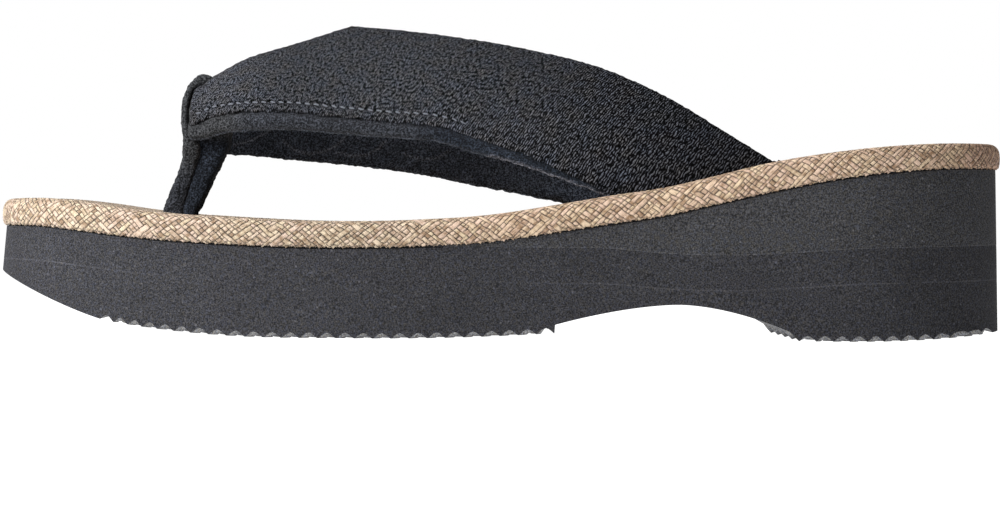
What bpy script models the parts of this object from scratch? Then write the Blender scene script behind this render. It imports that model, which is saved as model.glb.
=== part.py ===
"""A women's setta sandal, left shoe, at its real size.

Frame: toe towards -X, heel towards +X, outer (lateral) side towards -Y, +Z up. The origin is on the
floor, under the middle of the shoe's box. Tables are in millimetres, and a station is the distance from
the toe tip. The sponge sole is three layers: outsole, midsole and heel wedge. The footbed lies on it. The
upper is two wide straps joined along a centre seam over the toes, and the felt toe post ties the seam's
front end to the footbed.
"""

import math
from collections import namedtuple

import bmesh
import bpy
import numpy as np

MM = 0.001

# Driving sizes of the shoe, in millimetres.
LENGTH = 236.0
JOINT_GAP = 0.3
MIDSOLE_THICKNESS = 8.1
WEDGE_START = 112.0
SOLE_INSET_AT_FOOTBED = 0.9
SOLE_INSET_AT_FLOOR = 0.0
STRAP_WALL = 2.8
SLOT_DEPTH = 3.5
SLOT_CLEARANCE = 0.55
STRAP_UPRIGHT = 0.6
TOE_POST_Y = 3.0

# The tread's side profile: a flat to stand on under the ball and under the heel, and arcs between.
BALL_FLAT = (70.0, 86.0)
HEEL_FLAT = (186.5, 198.0)
TOE_SPRING_RADIUS = 270.0
TOE_BEVEL_END = 28.0
TOE_BEVEL_RISE = 5.5
TOE_BEVEL_POWER = 1.25
BALL_ROCKER_RADIUS = 680.0
ARCH_START = 130.5
ARCH_STEP = 1.6
ARCH_TOP_STATION = 159.0
ARCH_TOP = 8.15
ARCH_DROP = 0.0207
ARCH_FRONT_POWER = 1.625
ARCH_REAR_POWER = 1.75
ARCH_REAR_END = 184.0
HEEL_ROCKER_RADIUS = 330.0

# Mesh fineness.
END_STATIONS = 46
STATION_MERGE = 1.3
SECTIONS_PER_ROW = 3
POINTS_ACROSS_STRAP = 9
POST_RING_POINTS = 16
WELD_DISTANCE = 0.01
SLOPE_STEP = 0.01
SHARP_ANGLE = math.radians(35.0)

# One side of the plan outline: where it is widest, narrowest, and how full its round ends are.
Side = namedtuple("Side", "sign ball_station ball waist_station waist heel_station heel toe_full heel_full")
LATERAL = Side(-1, 79.0, 42.8, 160.0, 34.6, 190.0, 34.6, 2.40, 2.25)
MEDIAL = Side(1, 72.0, 42.8, 152.0, 33.4, 192.0, 34.4, 2.55, 2.25)

# Footbed from the side: height of its top above the floor, and how thick it is there.
Footbed = namedtuple("Footbed", "station top thickness")
FOOTBED_ROWS = (
    Footbed(0.0, 31.2, 5.9),
    Footbed(10.0, 31.4, 6.3),
    Footbed(22.0, 30.4, 6.5),
    Footbed(31.0, 29.2, 6.3),
    Footbed(40.0, 28.2, 6.1),
    Footbed(50.0, 27.6, 6.1),
    Footbed(80.0, 26.6, 5.9),
    Footbed(100.0, 27.2, 6.0),
    Footbed(114.0, 28.2, 6.1),
    Footbed(132.0, 31.0, 6.2),
    Footbed(143.0, 33.0, 6.4),
    Footbed(156.0, 35.1, 6.4),
    Footbed(166.0, 37.5, 6.5),
    Footbed(180.0, 41.0, 6.7),
    Footbed(200.0, 44.2, 6.1),
    Footbed(220.0, 45.8, 5.7),
    Footbed(236.0, 46.1, 5.6),
)

# The edge of the footbed, from its underside round to its top: inset from the outline, and height share.
Edge = namedtuple("Edge", "inset share")
FOOTBED_EDGE = (
    Edge(1.4, 0.0),
    Edge(0.5, 0.06),
    Edge(0.2, 0.22),
    Edge(0.2, 0.55),
    Edge(0.5, 0.78),
    Edge(1.1, 0.92),
    Edge(2.2, 1.0),
)

# Where the heel wedge lies on the midsole sheet: height of that joint above the floor.
WedgeLine = namedtuple("WedgeLine", "station height")
WEDGE_ROWS = (
    WedgeLine(100.0, 21.2),
    WedgeLine(125.0, 21.0),
    WedgeLine(143.0, 20.9),
    WedgeLine(156.0, 19.9),
    WedgeLine(170.0, 19.6),
    WedgeLine(185.0, 20.3),
    WedgeLine(198.0, 21.2),
    WedgeLine(212.0, 21.7),
    WedgeLine(236.0, 22.4),
)

# The centre seam where the two straps are sewn together, from the toe post to the fork.
Seam = namedtuple("Seam", "x y z")
SEAM_ROWS = (
    Seam(-73.4, 3.0, 57.4),
    Seam(-70.4, 3.0, 59.1),
    Seam(-67.0, 3.0, 62.0),
    Seam(-60.0, 3.0, 65.6),
    Seam(-49.5, 2.2, 68.6),
    Seam(-37.2, 1.0, 73.0),
)

# A strap's outer (lower) edge, front to base, with the crown of the section that starts there.
Outer = namedtuple("Outer", "x y z crown")
LATERAL_OUTER = (
    Outer(-74.2, -5.0, 45.1, 3.0),
    Outer(-70.8, -6.0, 45.4, 3.3),
    Outer(-66.5, -8.0, 46.6, 3.8),
    Outer(-59.0, -12.6, 47.5, 4.8),
    Outer(-48.0, -18.4, 47.6, 5.8),
    Outer(-36.5, -23.4, 46.7, 6.4),
    Outer(-24.5, -27.9, 45.8, 6.4),
    Outer(-15.5, -30.4, 45.2, 6.0),
    Outer(-7.0, -32.4, 42.7, 5.2),
    Outer(3.0, -33.8, 40.2, 4.4),
    Outer(11.5, -33.9, 37.4, 3.2),
    Outer(19.0, -33.2, 34.9, 1.6),
    Outer(24.3, -32.3, 32.9, 0.0),
)
MEDIAL_OUTER = (
    Outer(-74.2, 11.0, 44.9, 3.0),
    Outer(-70.8, 12.2, 43.4, 3.4),
    Outer(-66.5, 14.2, 42.2, 4.2),
    Outer(-59.0, 17.8, 41.8, 5.2),
    Outer(-48.5, 22.2, 41.0, 6.4),
    Outer(-37.5, 26.2, 40.1, 7.2),
    Outer(-27.0, 29.3, 39.0, 7.2),
    Outer(-17.0, 31.6, 37.5, 6.6),
    Outer(-8.0, 32.9, 35.7, 5.6),
    Outer(-0.5, 33.5, 34.3, 4.4),
    Outer(6.0, 33.5, 33.1, 3.0),
    Outer(11.5, 33.0, 32.1, 1.4),
    Outer(16.0, 32.2, 31.4, 0.0),
)

# A strap's inner (upper) edge behind the fork, down to its base.
Inner = namedtuple("Inner", "x y z")
LATERAL_INNER = (
    Inner(-23.5, -4.6, 71.8),
    Inner(-8.5, -10.6, 69.6),
    Inner(7.5, -17.0, 66.6),
    Inner(23.5, -22.8, 62.3),
    Inner(38.8, -26.5, 56.0),
    Inner(52.2, -28.8, 48.1),
    Inner(62.8, -30.3, 41.6),
)
MEDIAL_INNER = (
    Inner(-25.0, 6.8, 71.2),
    Inner(-12.0, 12.6, 68.8),
    Inner(2.0, 18.4, 65.5),
    Inner(16.0, 23.4, 60.8),
    Inner(29.5, 27.0, 54.3),
    Inner(43.0, 29.4, 46.8),
    Inner(56.3, 30.9, 39.6),
)

# The felt toe post, seen from the side: middle of each section, half its depth and half its width.
Post = namedtuple("Post", "x z half_depth half_width")
POST_FRONT = (
    Post(-78.1, 24.9, 2.45, 4.2),
    Post(-78.1, 27.0, 2.45, 4.2),
    Post(-78.0, 28.9, 2.45, 4.2),
    Post(-77.2, 31.0, 2.30, 4.3),
    Post(-76.0, 34.0, 2.10, 4.4),
    Post(-74.8, 37.5, 1.80, 4.6),
    Post(-74.2, 40.8, 1.60, 4.7),
    Post(-74.6, 43.6, 1.15, 5.2),
    Post(-75.3, 46.2, 0.75, 6.6),
    Post(-75.7, 50.0, 0.75, 6.9),
    Post(-75.6, 53.5, 0.75, 5.4),
    Post(-75.0, 56.6, 0.75, 4.0),
    Post(-73.7, 59.0, 0.70, 3.5),
    Post(-71.9, 60.3, 0.70, 3.3),
    Post(-70.2, 60.5, 0.70, 3.2),
)
POST_REAR = (
    Post(-73.9, 24.9, 2.0, 4.2),
    Post(-73.9, 27.0, 2.0, 4.2),
    Post(-73.8, 28.9, 2.1, 4.2),
    Post(-72.9, 31.0, 2.4, 4.3),
    Post(-71.7, 34.0, 2.7, 4.4),
    Post(-70.5, 37.5, 2.8, 4.4),
    Post(-69.3, 41.0, 3.1, 4.4),
    Post(-68.9, 44.5, 4.0, 4.4),
    Post(-68.2, 48.0, 3.9, 4.2),
    Post(-66.4, 52.0, 3.0, 3.8),
    Post(-64.8, 55.2, 2.1, 3.2),
    Post(-64.0, 57.9, 1.5, 2.2),
)
POST_ROUNDNESS = 3.0
POST_HOLE_ROUNDNESS = 6.0
POST_HOLE_SIDES = 32

# The post hole's cutter reaches this far past the footbed, and the slots' cutters have these heights.
HOLE_CUTTER_MARGIN = 4.0
SLOT_CUTTER_HEIGHTS = (20.0, 50.0)

# Each piece's finish: base colour (linear), roughness, and sheen where it is cloth.
Finish = namedtuple("Finish", "colour roughness sheen")
SPONGE_LOW = Finish((0.030, 0.030, 0.033), 0.85, 0.0)
SPONGE_MID = Finish((0.038, 0.038, 0.042), 0.85, 0.0)
SPONGE_TOP = Finish((0.050, 0.050, 0.053), 0.85, 0.0)
STRAW = Finish((0.455, 0.318, 0.220), 0.70, 0.1)
CREPE = Finish((0.040, 0.043, 0.052), 0.80, 0.3)
FELT = Finish((0.025, 0.027, 0.030), 0.95, 0.4)


# ---- Curves through table rows ----


def spline(places, values, place):
    """Cubic curve through the rows, with a slope at each row taken from its two neighbours."""
    places = np.asarray(places, float)
    values = np.asarray(values, float)
    slopes = np.gradient(values, places, axis=0)
    index = int(np.clip(np.searchsorted(places, place) - 1, 0, len(places) - 2))
    width = places[index + 1] - places[index]
    t = (place - places[index]) / width
    blend_start = (1 + 2 * t) * (1 - t) ** 2
    blend_end = t * t * (3 - 2 * t)
    slope_start = t * (1 - t) ** 2 * width
    slope_end = t * t * (t - 1) * width
    return (
        blend_start * values[index]
        + blend_end * values[index + 1]
        + slope_start * slopes[index]
        + slope_end * slopes[index + 1]
    )


def read_table(rows, column, station):
    """One column of a table at any station."""
    return float(spline([row[0] for row in rows], [getattr(row, column) for row in rows], station))


def arc_rise(run, radius):
    """How far an arc that starts level has risen after this run."""
    return radius - math.sqrt(radius**2 - run**2)


# ---- The shoe's side profile ----


def footbed_top(station):
    return read_table(FOOTBED_ROWS, "top", station)


def footbed_under(station):
    return footbed_top(station) - read_table(FOOTBED_ROWS, "thickness", station)


def wedge_line(station):
    return read_table(WEDGE_ROWS, "height", station)


def midsole_top(station):
    """The joint above the midsole sheet: under the footbed in front, under the wedge behind."""
    return footbed_under(station) if station < WEDGE_START else wedge_line(station)


def midsole_under(station):
    """The joint under the midsole sheet, which follows the sheet's top without the wedge's skived step."""
    top = footbed_under(station) if station < WEDGE_ROWS[0].station else wedge_line(station)
    return top - MIDSOLE_THICKNESS


def arch_height(station):
    """The arch cut: it drops away from its top a little faster towards the heel than towards the ball."""
    power = ARCH_FRONT_POWER if station < ARCH_TOP_STATION else ARCH_REAR_POWER
    return ARCH_TOP - ARCH_DROP * abs(station - ARCH_TOP_STATION) ** power


def tread(station):
    """Lowest surface of the outsole: toe bevel and spring, ball flat, rocker, arch cut, heel flat, rocker."""
    if station < BALL_FLAT[0]:
        share = max(0.0, TOE_BEVEL_END - station) / TOE_BEVEL_END
        bevel = TOE_BEVEL_RISE * share**TOE_BEVEL_POWER
        return arc_rise(BALL_FLAT[0] - station, TOE_SPRING_RADIUS) + bevel
    if station <= BALL_FLAT[1]:
        return 0.0
    if station <= ARCH_START:
        return arc_rise(station - BALL_FLAT[1], BALL_ROCKER_RADIUS)
    if station <= ARCH_REAR_END:
        return arch_height(station)
    if station <= HEEL_FLAT[1]:
        share = (HEEL_FLAT[0] - station) / (HEEL_FLAT[0] - ARCH_REAR_END)
        return arch_height(ARCH_REAR_END) * max(0.0, share)
    return arc_rise(station - HEEL_FLAT[1], HEEL_ROCKER_RADIUS)


# ---- The shoe's plan outline ----


def half_width(side, station):
    """Distance from the centre line to the outline: full round ends, joined by a smooth waist."""
    if station <= side.ball_station:
        share = 1 - station / side.ball_station
        return side.ball * (1 - share**side.toe_full) ** (1 / side.toe_full)
    if station >= side.heel_station:
        share = (station - side.heel_station) / (LENGTH - side.heel_station)
        return side.heel * max(0.0, 1 - share**side.heel_full) ** (1 / side.heel_full)
    if station < side.waist_station:
        share = (station - side.ball_station) / (side.waist_station - side.ball_station)
        start, end = side.ball, side.waist
    else:
        share = (station - side.waist_station) / (side.heel_station - side.waist_station)
        start, end = side.waist, side.heel
    ease = share * share * (3 - 2 * share)
    return start + (end - start) * ease


def stations():
    """Stations close together at the round ends, and at each break of the tread's profile."""
    breaks = [TOE_BEVEL_END, *BALL_FLAT, WEDGE_START, ARCH_START, ARCH_START + ARCH_STEP, ARCH_TOP_STATION]
    breaks += [ARCH_REAR_END, *HEEL_FLAT]
    spread = [LENGTH * (1 - math.cos(math.pi * i / END_STATIONS)) / 2 for i in range(END_STATIONS + 1)]
    kept = [s for s in spread if all(abs(s - b) > STATION_MERGE for b in breaks)]
    return sorted(kept + breaks)


def outline(start=0.0):
    """Both edges of the plan from a station back to the heel, as (x, y) points with outward normals."""
    kept = [s for s in stations() if s >= start]
    sides = {}
    for side in (LATERAL, MEDIAL):
        rows = []
        for s in kept:
            ahead, behind = max(0.0, s - SLOPE_STEP), min(LENGTH, s + SLOPE_STEP)
            run = behind - ahead
            rise = half_width(side, behind) - half_width(side, ahead)
            if s in (0.0, LENGTH):
                normal = (-1.0 if s == 0.0 else 1.0, 0.0)
            else:
                size = math.hypot(run, rise)
                normal = (-rise / size, side.sign * run / size)
            rows.append((s, side.sign * half_width(side, s), *normal))
        sides[side] = np.array(rows)
    return sides[LATERAL], sides[MEDIAL]


def inset_edge(edge, inset):
    """The edge moved inwards, as (station, y) rows."""
    inset = np.broadcast_to(inset, len(edge))
    return np.column_stack([edge[:, 0] - inset * edge[:, 2], edge[:, 1] - inset * edge[:, 3]])


# ---- Mesh helpers ----


def material(name, finish):
    made = bpy.data.materials.new(name)
    made.use_nodes = True
    shader = made.node_tree.nodes["Principled BSDF"]
    shader.inputs["Base Color"].default_value = (*finish.colour, 1.0)
    shader.inputs["Roughness"].default_value = finish.roughness
    shader.inputs["Metallic"].default_value = 0.0
    shader.inputs["Sheen Weight"].default_value = finish.sheen
    return made


def make_object(name, mesh, finish=None):
    """Puts a bmesh, in millimetres, into the scene as an object in metres. No finish means a helper."""
    bmesh.ops.scale(mesh, vec=(MM, MM, MM), verts=mesh.verts)
    bmesh.ops.recalc_face_normals(mesh, faces=mesh.faces)
    data = bpy.data.meshes.new(name)
    mesh.to_mesh(data)
    mesh.free()
    made = bpy.data.objects.new(name, data)
    bpy.context.scene.collection.objects.link(made)
    if finish is None:
        made.hide_render = True
        made.display_type = "WIRE"
        return made
    data.materials.append(material(name, finish))
    data.shade_smooth()
    data.set_sharp_from_angle(angle=SHARP_ANGLE)
    return made


def bridge(mesh, ring_a, ring_b):
    """Quads between two closed rings of vertices."""
    count = len(ring_a)
    for i in range(count):
        after = (i + 1) % count
        mesh.faces.new((ring_a[i], ring_a[after], ring_b[after], ring_b[i]))


def slab(levels, start=0.0):
    """A layer of the sole as a bmesh, from rings that are each a (height function, inset) pair."""
    lateral, medial = outline(start)
    mesh = bmesh.new()
    rings = []
    for height, inset in levels:
        rows = []
        for edge in (lateral, medial):
            insets = [inset(s) if callable(inset) else inset for s in edge[:, 0]]
            moved = inset_edge(edge, insets)
            if start:
                moved[0, 0] = edge[0, 0]
            rows.append([(s - LENGTH / 2, y, height(at)) for (s, y), at in zip(moved, edge[:, 0])])
        near = [mesh.verts.new(point) for point in rows[0]]
        far = [near[0] if start == 0.0 else mesh.verts.new(rows[1][0])]
        far += [mesh.verts.new(point) for point in rows[1][1:-1]] + [near[-1]]
        ring = near + far[-2:0:-1] + ([far[0]] if start else [])
        rings.append((ring, near, far))
    for lower, upper in zip(rings, rings[1:]):
        bridge(mesh, lower[0], upper[0])
    for _, near, far in (rings[0], rings[-1]):
        for i in range(len(near) - 1):
            corners = [near[i], near[i + 1], far[i + 1], far[i]]
            mesh.faces.new(list(dict.fromkeys(corners)))
    return mesh


def sole_inset(height):
    """The sponge's ground side leans in a little from the floor up to the footbed."""

    def inset(station):
        share = (height(station) - tread(station)) / (footbed_under(station) - tread(station))
        return SOLE_INSET_AT_FLOOR + (SOLE_INSET_AT_FOOTBED - SOLE_INSET_AT_FLOOR) * share

    return inset


def raised(height, by):
    """The same height function, moved up."""
    return lambda station: height(station) + by


def sponge_layer(name, under, top, finish, start=0.0):
    """One sheet of the sole between two joints, each half a gap away from its neighbour."""
    levels = [(under, sole_inset(under)), (top, sole_inset(top))]
    return make_object(name, slab(levels, start), finish)


# ---- The sole and footbed ----


def make_outsole():
    return sponge_layer("outsole", tread, raised(midsole_under, -JOINT_GAP / 2), SPONGE_LOW)


def make_midsole():
    under = raised(midsole_under, JOINT_GAP / 2)
    return sponge_layer("midsole", under, raised(midsole_top, -JOINT_GAP / 2), SPONGE_MID)


def make_heel_wedge():
    under = raised(wedge_line, JOINT_GAP / 2)
    return sponge_layer("heel_wedge", under, raised(footbed_under, -JOINT_GAP / 2), SPONGE_TOP, WEDGE_START)


def slot_cutter(name, start, end, inner_side):
    """Cuts a strap's slot: it stands on the plan line from start to end, with the wall on its inner side."""
    along = np.subtract(end, start) / np.linalg.norm(np.subtract(end, start))
    across = np.array([-along[1], along[0]])
    across *= inner_side * np.sign(across[1])
    near = [np.array(start) - along * SLOT_CLEARANCE, np.array(end) + along * SLOT_CLEARANCE]
    near = [point - across * JOINT_GAP for point in near]
    far = [point + across * (JOINT_GAP + STRAP_WALL + SLOT_CLEARANCE) for point in near]
    mesh = bmesh.new()
    rings = []
    for z in SLOT_CUTTER_HEIGHTS:
        rings.append([mesh.verts.new((*point, z)) for point in (near[0], near[1], far[1], far[0])])
    bridge(mesh, *rings)
    mesh.faces.new(rings[0])
    mesh.faces.new(rings[1])
    return make_object(name, mesh)


def post_hole_cutter():
    """A round-ended hole that takes both layers of the toe post with a gap all round."""
    front, rear = POST_FRONT[1], POST_REAR[1]
    front_x = front.x - front.half_depth - JOINT_GAP
    rear_x = rear.x + rear.half_depth + JOINT_GAP
    middle, half_depth = (front_x + rear_x) / 2, (rear_x - front_x) / 2
    half = front.half_width + JOINT_GAP
    mesh = bmesh.new()
    rings = []
    station = LENGTH / 2 + middle
    for z in (footbed_under(station) - HOLE_CUTTER_MARGIN, footbed_top(station) + HOLE_CUTTER_MARGIN):
        ring = []
        for i in range(POST_HOLE_SIDES):
            dx, dy = rounded(half_depth, half, 2 * math.pi * i / POST_HOLE_SIDES, POST_HOLE_ROUNDNESS)
            ring.append(mesh.verts.new((middle + dx, TOE_POST_Y + dy, z)))
        rings.append(ring)
    bridge(mesh, *rings)
    mesh.faces.new(rings[0])
    mesh.faces.new(rings[1])
    return make_object("post_hole_cutter", mesh)


def make_footbed():
    """Board and cushion wrapped in woven straw, with a slot for each strap end and a hole for the post."""
    under = raised(footbed_under, JOINT_GAP / 2)

    def level(share):
        return lambda station: under(station) + share * (footbed_top(station) - under(station))

    made = make_object("footbed", slab([(level(e.share), e.inset) for e in FOOTBED_EDGE]), STRAW)
    cutters = [post_hole_cutter()]
    for name, outer, inner, side in (
        ("lateral_slot_cutter", LATERAL_OUTER, LATERAL_INNER, 1),
        ("medial_slot_cutter", MEDIAL_OUTER, MEDIAL_INNER, -1),
    ):
        start, end = [(row.x, row.y) for row in (outer[-1], inner[-1])]
        cutters.append(slot_cutter(name, start, end, side))
    for cutter in cutters:
        cut = made.modifiers.new(cutter.name, "BOOLEAN")
        cut.object = cutter
        cut.operation = "DIFFERENCE"
    return made


# ---- The upper ----


def strap_sections(outer_rows, inner_rows, sign):
    """One strap's outer face: for each step along it, a section of points from outer to inner edge."""
    fork = len(SEAM_ROWS) - 1
    outer = np.array([row[:3] for row in outer_rows])
    crowns = np.array([row.crown for row in outer_rows])
    seam = np.array(SEAM_ROWS)
    behind = np.vstack([seam[-1:], np.array(inner_rows)])
    steps = np.arange((len(outer_rows) - 1) * SECTIONS_PER_ROW + 1) / SECTIONS_PER_ROW
    lows, highs, bulges = [], [], []
    for step in steps:
        lows.append(spline(range(len(outer)), outer, step))
        bulges.append(float(spline(range(len(outer)), crowns, step)))
        if step <= fork:
            highs.append(spline(range(len(seam)), seam, step))
        else:
            highs.append(spline(range(len(behind)), behind, step - fork))
    middles = (np.array(lows) + np.array(highs)) / 2
    ways = np.gradient(middles, axis=0)
    sections = []
    for low, high, bulge, way in zip(lows, highs, bulges, ways):
        normal = np.cross(way, high - low) * -sign
        normal /= np.linalg.norm(normal)
        shares = np.linspace(0, 1, POINTS_ACROSS_STRAP)
        sections.append([low + (high - low) * v + normal * bulge * 4 * v * (1 - v) for v in shares])
    # The strap stands upright just above the footbed, and one more section reaches down into its slot.
    surface = [np.array([p[0], p[1], footbed_top(p[0] + LENGTH / 2)]) for p in sections[-1]]
    sections[-1] = [p + np.array([0, 0, STRAP_UPRIGHT]) for p in surface]
    sections.append([p - np.array([0, 0, SLOT_DEPTH]) for p in surface])
    return sections


def make_upper():
    """Both straps as one wall: a sheet from each side, joined along the seam, thickened inwards."""
    mesh = bmesh.new()
    for outer_rows, inner_rows, sign in (
        (LATERAL_OUTER, LATERAL_INNER, -1),
        (MEDIAL_OUTER, MEDIAL_INNER, 1),
    ):
        sections = strap_sections(outer_rows, inner_rows, sign)
        rows = [[mesh.verts.new(point) for point in section] for section in sections]
        for a, b in zip(rows, rows[1:]):
            for i in range(POINTS_ACROSS_STRAP - 1):
                corners = (a[i], a[i + 1], b[i + 1], b[i])
                mesh.faces.new(corners if sign > 0 else corners[::-1])
    bmesh.ops.remove_doubles(mesh, verts=mesh.verts, dist=WELD_DISTANCE)
    made = make_object("upper", mesh, CREPE)
    wall = made.modifiers.new("wall", "SOLIDIFY")
    wall.thickness = STRAP_WALL * MM
    wall.offset = -1
    wall.use_even_offset = True
    return made


# ---- The toe post ----


def rounded(half_depth, half, angle, roundness=POST_ROUNDNESS):
    """A point of a rectangle with round corners, squarer as roundness grows."""
    c, s = math.cos(angle), math.sin(angle)
    power = 2 / roundness
    return half_depth * math.copysign(abs(c) ** power, c), half * math.copysign(abs(s) ** power, s)


def post_layer(rows):
    """One felt layer, lofted along its path in the shoe's lengthwise plane."""
    path = np.array([(row.x, row.z) for row in rows])
    ways = np.gradient(path, axis=0)
    mesh = bmesh.new()
    rings = []
    for row, (x, z), way in zip(rows, path, ways):
        way = way / np.linalg.norm(way)
        ring = []
        for i in range(POST_RING_POINTS):
            depth, across = rounded(row.half_depth, row.half_width, 2 * math.pi * i / POST_RING_POINTS)
            ring.append(mesh.verts.new((x - depth * way[1], TOE_POST_Y + across, z + depth * way[0])))
        rings.append(ring)
    for lower, upper in zip(rings, rings[1:]):
        bridge(mesh, lower, upper)
    mesh.faces.new(rings[0])
    mesh.faces.new(rings[-1])
    return mesh


def make_toe_post():
    """A felt loop: its front layer goes up and over the seam's end, its rear layer goes up under the seam."""
    made = make_object("toe_post", post_layer(POST_FRONT), FELT)
    rear = make_object("post_rear_layer", post_layer(POST_REAR))
    join = made.modifiers.new("rear layer", "BOOLEAN")
    join.object = rear
    join.operation = "UNION"
    return made


def main():
    for old in list(bpy.data.objects):
        bpy.data.objects.remove(old)
    make_outsole()
    make_midsole()
    make_heel_wedge()
    make_footbed()
    make_upper()
    make_toe_post()


main()
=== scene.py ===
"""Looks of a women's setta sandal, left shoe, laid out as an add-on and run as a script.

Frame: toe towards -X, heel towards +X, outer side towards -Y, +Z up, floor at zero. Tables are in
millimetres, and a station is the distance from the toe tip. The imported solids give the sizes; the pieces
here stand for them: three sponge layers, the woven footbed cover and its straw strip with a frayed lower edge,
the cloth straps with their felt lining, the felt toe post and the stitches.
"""

import math
import random
from collections import namedtuple

import bmesh
import bpy
import numpy as np
from bpy.props import FloatProperty, FloatVectorProperty, PointerProperty
from mathutils import Matrix, Vector, noise
from mathutils.kdtree import KDTree


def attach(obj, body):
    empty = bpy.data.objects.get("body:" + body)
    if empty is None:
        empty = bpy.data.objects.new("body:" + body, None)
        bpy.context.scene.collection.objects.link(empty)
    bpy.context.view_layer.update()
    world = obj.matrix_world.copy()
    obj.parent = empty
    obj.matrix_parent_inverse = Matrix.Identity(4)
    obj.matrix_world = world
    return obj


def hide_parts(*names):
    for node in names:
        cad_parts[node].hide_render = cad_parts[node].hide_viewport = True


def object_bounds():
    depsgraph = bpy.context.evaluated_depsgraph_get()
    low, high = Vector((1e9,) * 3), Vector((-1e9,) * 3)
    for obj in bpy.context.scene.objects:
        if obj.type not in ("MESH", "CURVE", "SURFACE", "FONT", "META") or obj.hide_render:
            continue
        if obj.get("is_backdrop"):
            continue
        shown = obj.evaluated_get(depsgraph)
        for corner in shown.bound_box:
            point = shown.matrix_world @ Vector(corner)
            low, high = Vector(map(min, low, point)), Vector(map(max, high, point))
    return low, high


bl_info = {
    "name": "Setta sandal looks",
    "version": (1, 0, 0),
    "blender": (4, 5, 0),
    "location": "3D View > Sidebar > Sandal",
    "description": "Builds the cloth, felt, straw and sponge of a setta sandal over its solids",
    "category": "Object",
}

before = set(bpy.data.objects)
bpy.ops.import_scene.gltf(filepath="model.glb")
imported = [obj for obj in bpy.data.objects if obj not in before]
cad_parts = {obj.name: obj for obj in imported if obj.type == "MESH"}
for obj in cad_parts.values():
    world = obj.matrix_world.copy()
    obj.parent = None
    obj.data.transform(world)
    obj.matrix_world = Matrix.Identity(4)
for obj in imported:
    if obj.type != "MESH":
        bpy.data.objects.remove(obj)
CAD_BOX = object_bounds()
MM = 0.001
LENGTH = (CAD_BOX[1].x - CAD_BOX[0].x) / MM
BODY = "root"


def linear(hex_colour):
    """An sRGB hex colour as the linear numbers that shaders use."""
    shares = [int(hex_colour[i : i + 2], 16) / 255 for i in (0, 2, 4)]
    return tuple(c / 12.92 if c <= 0.04045 else ((c + 0.055) / 1.055) ** 2.4 for c in shares)


# ---- The shoe's own tables, in millimetres ----


def rows(kind, *values):
    """A table, whose rows all have the named columns of one kind."""
    return [kind(*row) for row in values]


# One side of the plan outline: where it is widest, narrowest, and how full its round ends are.
Side = namedtuple("Side", "sign ball_station ball waist_station waist heel_station heel toe_full heel_full")
LATERAL = Side(-1, 79.0, 42.8, 160.0, 34.6, 190.0, 34.6, 2.40, 2.25)
MEDIAL = Side(1, 72.0, 42.8, 152.0, 33.4, 192.0, 34.4, 2.55, 2.25)

# Footbed from the side: height of its top above the floor, and how thick it is there.
FootbedRow = namedtuple("FootbedRow", "station top thickness")
FOOTBED_ROWS = rows(
    FootbedRow,
    (0.0, 31.2, 5.9), (10.0, 31.4, 6.3), (22.0, 30.4, 6.5), (31.0, 29.2, 6.3), (40.0, 28.2, 6.1), (50.0, 27.6, 6.1),
    (80.0, 26.6, 5.9), (100.0, 27.2, 6.0), (114.0, 28.2, 6.1), (132.0, 31.0, 6.2), (143.0, 33.0, 6.4),
    (156.0, 35.1, 6.4), (166.0, 37.5, 6.5), (180.0, 41.0, 6.7), (200.0, 44.2, 6.1), (220.0, 45.8, 5.7),
    (236.0, 46.1, 5.6),
)

# Where the heel wedge lies on the midsole sheet.
WedgeRow = namedtuple("WedgeRow", "station height")
WEDGE_ROWS = rows(
    WedgeRow,
    (100.0, 21.2), (125.0, 21.0), (143.0, 20.9), (156.0, 19.9), (170.0, 19.6), (185.0, 20.3), (198.0, 21.2),
    (212.0, 21.7), (236.0, 22.4),
)
MIDSOLE_THICKNESS = 8.1

# The tread's side profile.
BALL_FLAT = (70.0, 86.0)
HEEL_FLAT = (186.5, 198.0)
TOE_SPRING_RADIUS = 270.0
TOE_BEVEL_END = 28.0
TOE_BEVEL_RISE = 5.5
TOE_BEVEL_POWER = 1.25
BALL_ROCKER_RADIUS = 680.0
ARCH_START = 130.5
ARCH_TOP_STATION = 159.0
ARCH_TOP = 8.15
ARCH_DROP = 0.0207
ARCH_FRONT_POWER = 1.625
ARCH_REAR_POWER = 1.75
ARCH_REAR_END = 184.4
HEEL_ROCKER_RADIUS = 330.0
SOLE_INSET_AT_FOOTBED = 0.9

# The centre seam of the two straps, from the toe post to the fork.
Seam = namedtuple("Seam", "x y z")
SEAM_ROWS = rows(
    Seam,
    (-73.4, 3.0, 58.3), (-70.4, 3.0, 59.9), (-67.0, 3.0, 61.7), (-60.0, 3.0, 65.3), (-49.0, 2.2, 68.6),
    (-35.8, 1.0, 72.9),
)

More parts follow.
